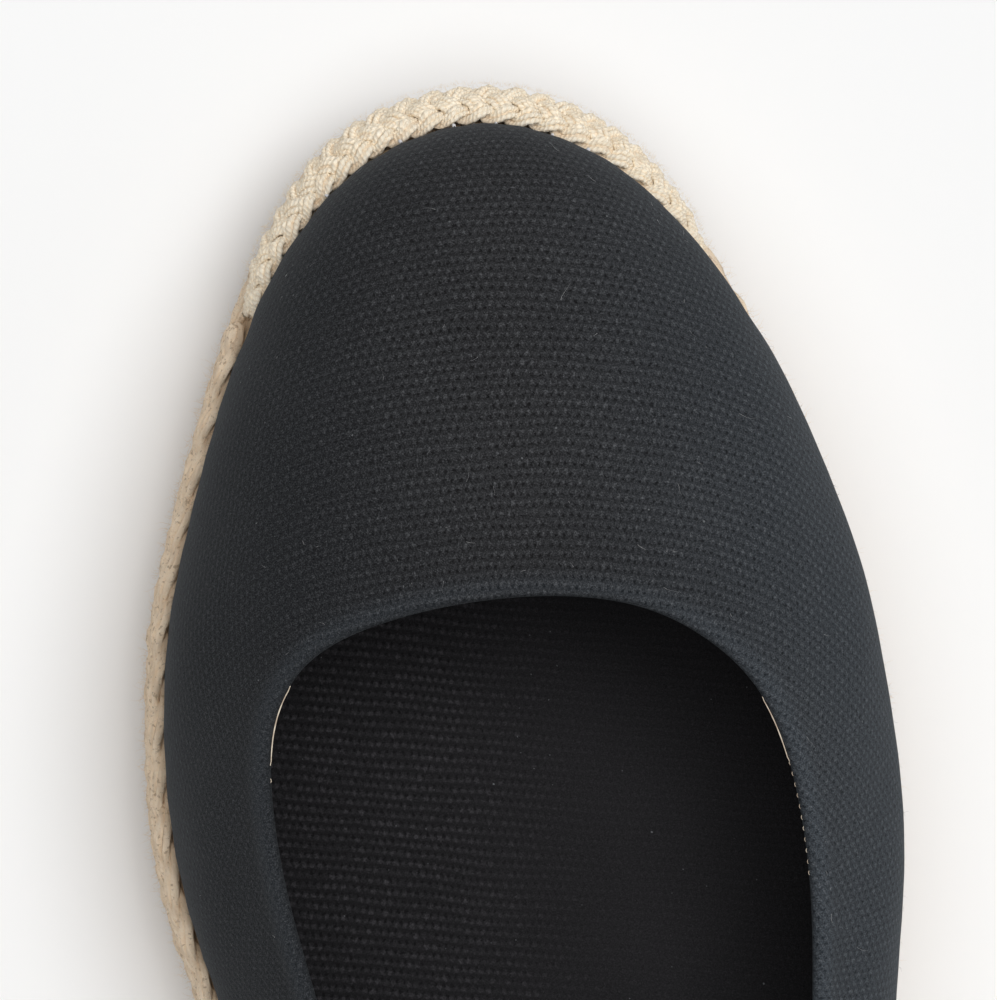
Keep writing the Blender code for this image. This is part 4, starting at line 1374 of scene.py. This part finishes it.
def build_outsole():
    """Rubber slab with a low rim, a fine line round it, and a tread of shallow zigzag grooves."""
    turns = column_turns(SOLE_COLUMNS)
    rim_top = RUBBER_THICKNESS + RIM_RISE
    inner = RIM_INSET + RIM_WALL
    profile = [
        # inset, height above the underside
        (inner, RUBBER_THICKNESS),
        (inner, rim_top - RIM_BEVEL),
        (inner - RIM_BEVEL, rim_top),
        (RIM_INSET + RIM_BEVEL, rim_top),
        (RIM_INSET, rim_top - RIM_BEVEL),
        (RIM_INSET, RIM_LINE_HEIGHT + RIM_LINE_WIDTH),
        (RIM_INSET + RIM_LINE_DEPTH, RIM_LINE_HEIGHT),
        (RIM_INSET, RIM_LINE_HEIGHT - RIM_LINE_WIDTH),
    ]
    for step in range(5):
        angle = math.pi / 2 * step / 4
        inset = RIM_INSET + RIM_ROUND * (1 - math.cos(angle))
        profile.append((inset, RIM_ROUND * (1 - math.sin(angle))))
    rings = [ring(turns, inset, lambda y: bottom_height(y) + rise) for inset, rise in profile]
    faces = capped_faces(len(rings), open_below=True)

    # The tread: rows of points across, from each lateral column to its medial partner
    half = SOLE_COLUMNS // 2
    edge = rings[-1]
    start = (len(rings) - 1) * SOLE_COLUMNS
    vertices = [point for points in rings for point in points]
    rows = []
    for step in range(half + 1):
        partner = (SOLE_COLUMNS - step) % SOLE_COLUMNS
        row = [start + step]
        for column in range(1, TREAD_COLUMNS):
            if step in (0, half):
                row.append(start + step)
            else:
                row.append(len(vertices))
                vertices.append(tread_point(edge[step], edge[partner], step, column))
        rows.append([*row, start + partner])
    for row, after in zip(rows, rows[1:]):
        for k in range(TREAD_COLUMNS):
            face = without_repeats([row[k], after[k], after[k + 1], row[k + 1]])
            if len(face) > 2:
                faces.append(face)
    piece = add_mesh("outsole", vertices, faces, [natural_rubber], "rubber", node="rubber_outsole")
    piece.data.set_sharp_from_angle(angle=math.radians(40))


def build_insole():
    """Cloth-covered footbed with a rounded edge and a slight dish for the foot."""
    turns = column_turns(SOLE_COLUMNS)
    edge_inset = upper_inset(turns) + WALL + SEAT_GAP
    rings = [ring(turns, edge_inset, lambda y: top_height(y) + GAP)]
    for step in INSOLE_RINGS:
        from_flat = 1 - min(step / INSOLE_ROUND, 1.0)
        edge = INSOLE_ROUND * (1 - math.sqrt(1 - from_flat**2))
        lift = INSOLE_THICKNESS - edge - INSOLE_DISH * smooth(step / INSOLE_DISH_RUN)
        rings.append(ring(turns, edge_inset + step, lambda y: top_height(y) + GAP + lift))
    points = np.vstack(rings[::-1])
    faces = capped_faces(len(rings))
    x, y, _ = points[np.concatenate(faces)].T
    cos, sin = math.cos(INSOLE_WEAVE_TURN), math.sin(INSOLE_WEAVE_TURN)
    uv = np.column_stack([x * cos + y * sin, y * cos - x * sin])
    add_mesh("insole_cloth", points, faces, [insole_cloth], "lining", uv, node="insole")


# Stage


def build_floor_and_sky():
    """Pale floor under a pale sky, which past the floor's edge looks as bright as the floor."""
    bpy.ops.mesh.primitive_plane_add(size=FLOOR_SIZE, location=(0.0, 0.0, 0.0))
    floor = bpy.context.object
    floor.name = "floor"
    floor.data.materials.append(floor_material())

    world = bpy.data.worlds.new("studio")
    world.use_nodes = True
    tree = world.node_tree
    sky = tree.nodes["Background"]
    sky.inputs[0].default_value = (1.0, 1.0, 1.0, 1.0)
    sky.inputs[1].default_value = SKY_STRENGTH
    beyond = tree.nodes.new("ShaderNodeBackground")
    beyond.inputs[0].default_value = (1.0, 1.0, 0.995, 1.0)
    beyond.inputs[1].default_value = BEYOND_FLOOR
    seen = tree.nodes.new("ShaderNodeLightPath")
    choice = tree.nodes.new("ShaderNodeMixShader")
    tree.links.new(seen.outputs["Is Camera Ray"], choice.inputs[0])
    tree.links.new(sky.outputs[0], choice.inputs[1])
    tree.links.new(beyond.outputs[0], choice.inputs[2])
    tree.links.new(choice.outputs[0], tree.nodes["World Output"].inputs["Surface"])
    bpy.context.scene.world = world


def build_lamps():
    """Wide suns, which are tilted to the picture's right."""
    for name, strength, width, tilt, turn in LAMPS:
        data = bpy.data.lights.new(name, "SUN")
        data.energy = strength
        data.angle = math.radians(width)
        lamp = bpy.data.objects.new(name, data)
        lamp.rotation_euler = (0.0, math.radians(tilt), math.radians(turn))
        bpy.context.scene.collection.objects.link(lamp)


def build_camera():
    """Camera with the photo's angle, crop and roll."""
    backward = np.array([-math.sin(CAMERA_TILT_MEDIAL), math.sin(CAMERA_TILT_TOE), 0.0])
    backward[2] = math.sqrt(1 - backward[0] ** 2 - backward[1] ** 2)
    right = unit(np.cross([-math.sin(CAMERA_ROLL), math.cos(CAMERA_ROLL), 0.0], backward))
    data = bpy.data.cameras.new("camera")
    data.sensor_fit = "VERTICAL"
    data.sensor_height = SENSOR_MM
    data.lens = PIXELS_PER_METRE * CAMERA_DISTANCE / PICTURE_HEIGHT * SENSOR_MM
    data.clip_start = 0.05
    camera = bpy.data.objects.new("camera", data)
    matrix = np.eye(4)
    matrix[:3, :3] = np.column_stack([right, np.cross(backward, right), backward])
    matrix[:3, 3] = np.array(CAMERA_TARGET) + SHIFT + CAMERA_DISTANCE * backward
    camera.matrix_world = Matrix(matrix.tolist())
    bpy.context.scene.collection.objects.link(camera)
    bpy.context.scene.camera = camera
    bpy.context.scene.view_settings.view_transform = "Standard"


build_floor_and_sky()
build_lamps()
build_camera()
canvas_turns, outer, normals, lip_middle, lip_tangent = build_upper()
build_collar_threads(canvas_turns, normals, lip_middle, lip_tangent)
build_toe_stitches(canvas_turns, outer, normals)
build_lint(outer, normals)
build_toe_braid()
build_jute_core()
build_jute_plaits()
build_outsole()
build_insole()

bpy.context.view_layer.update()
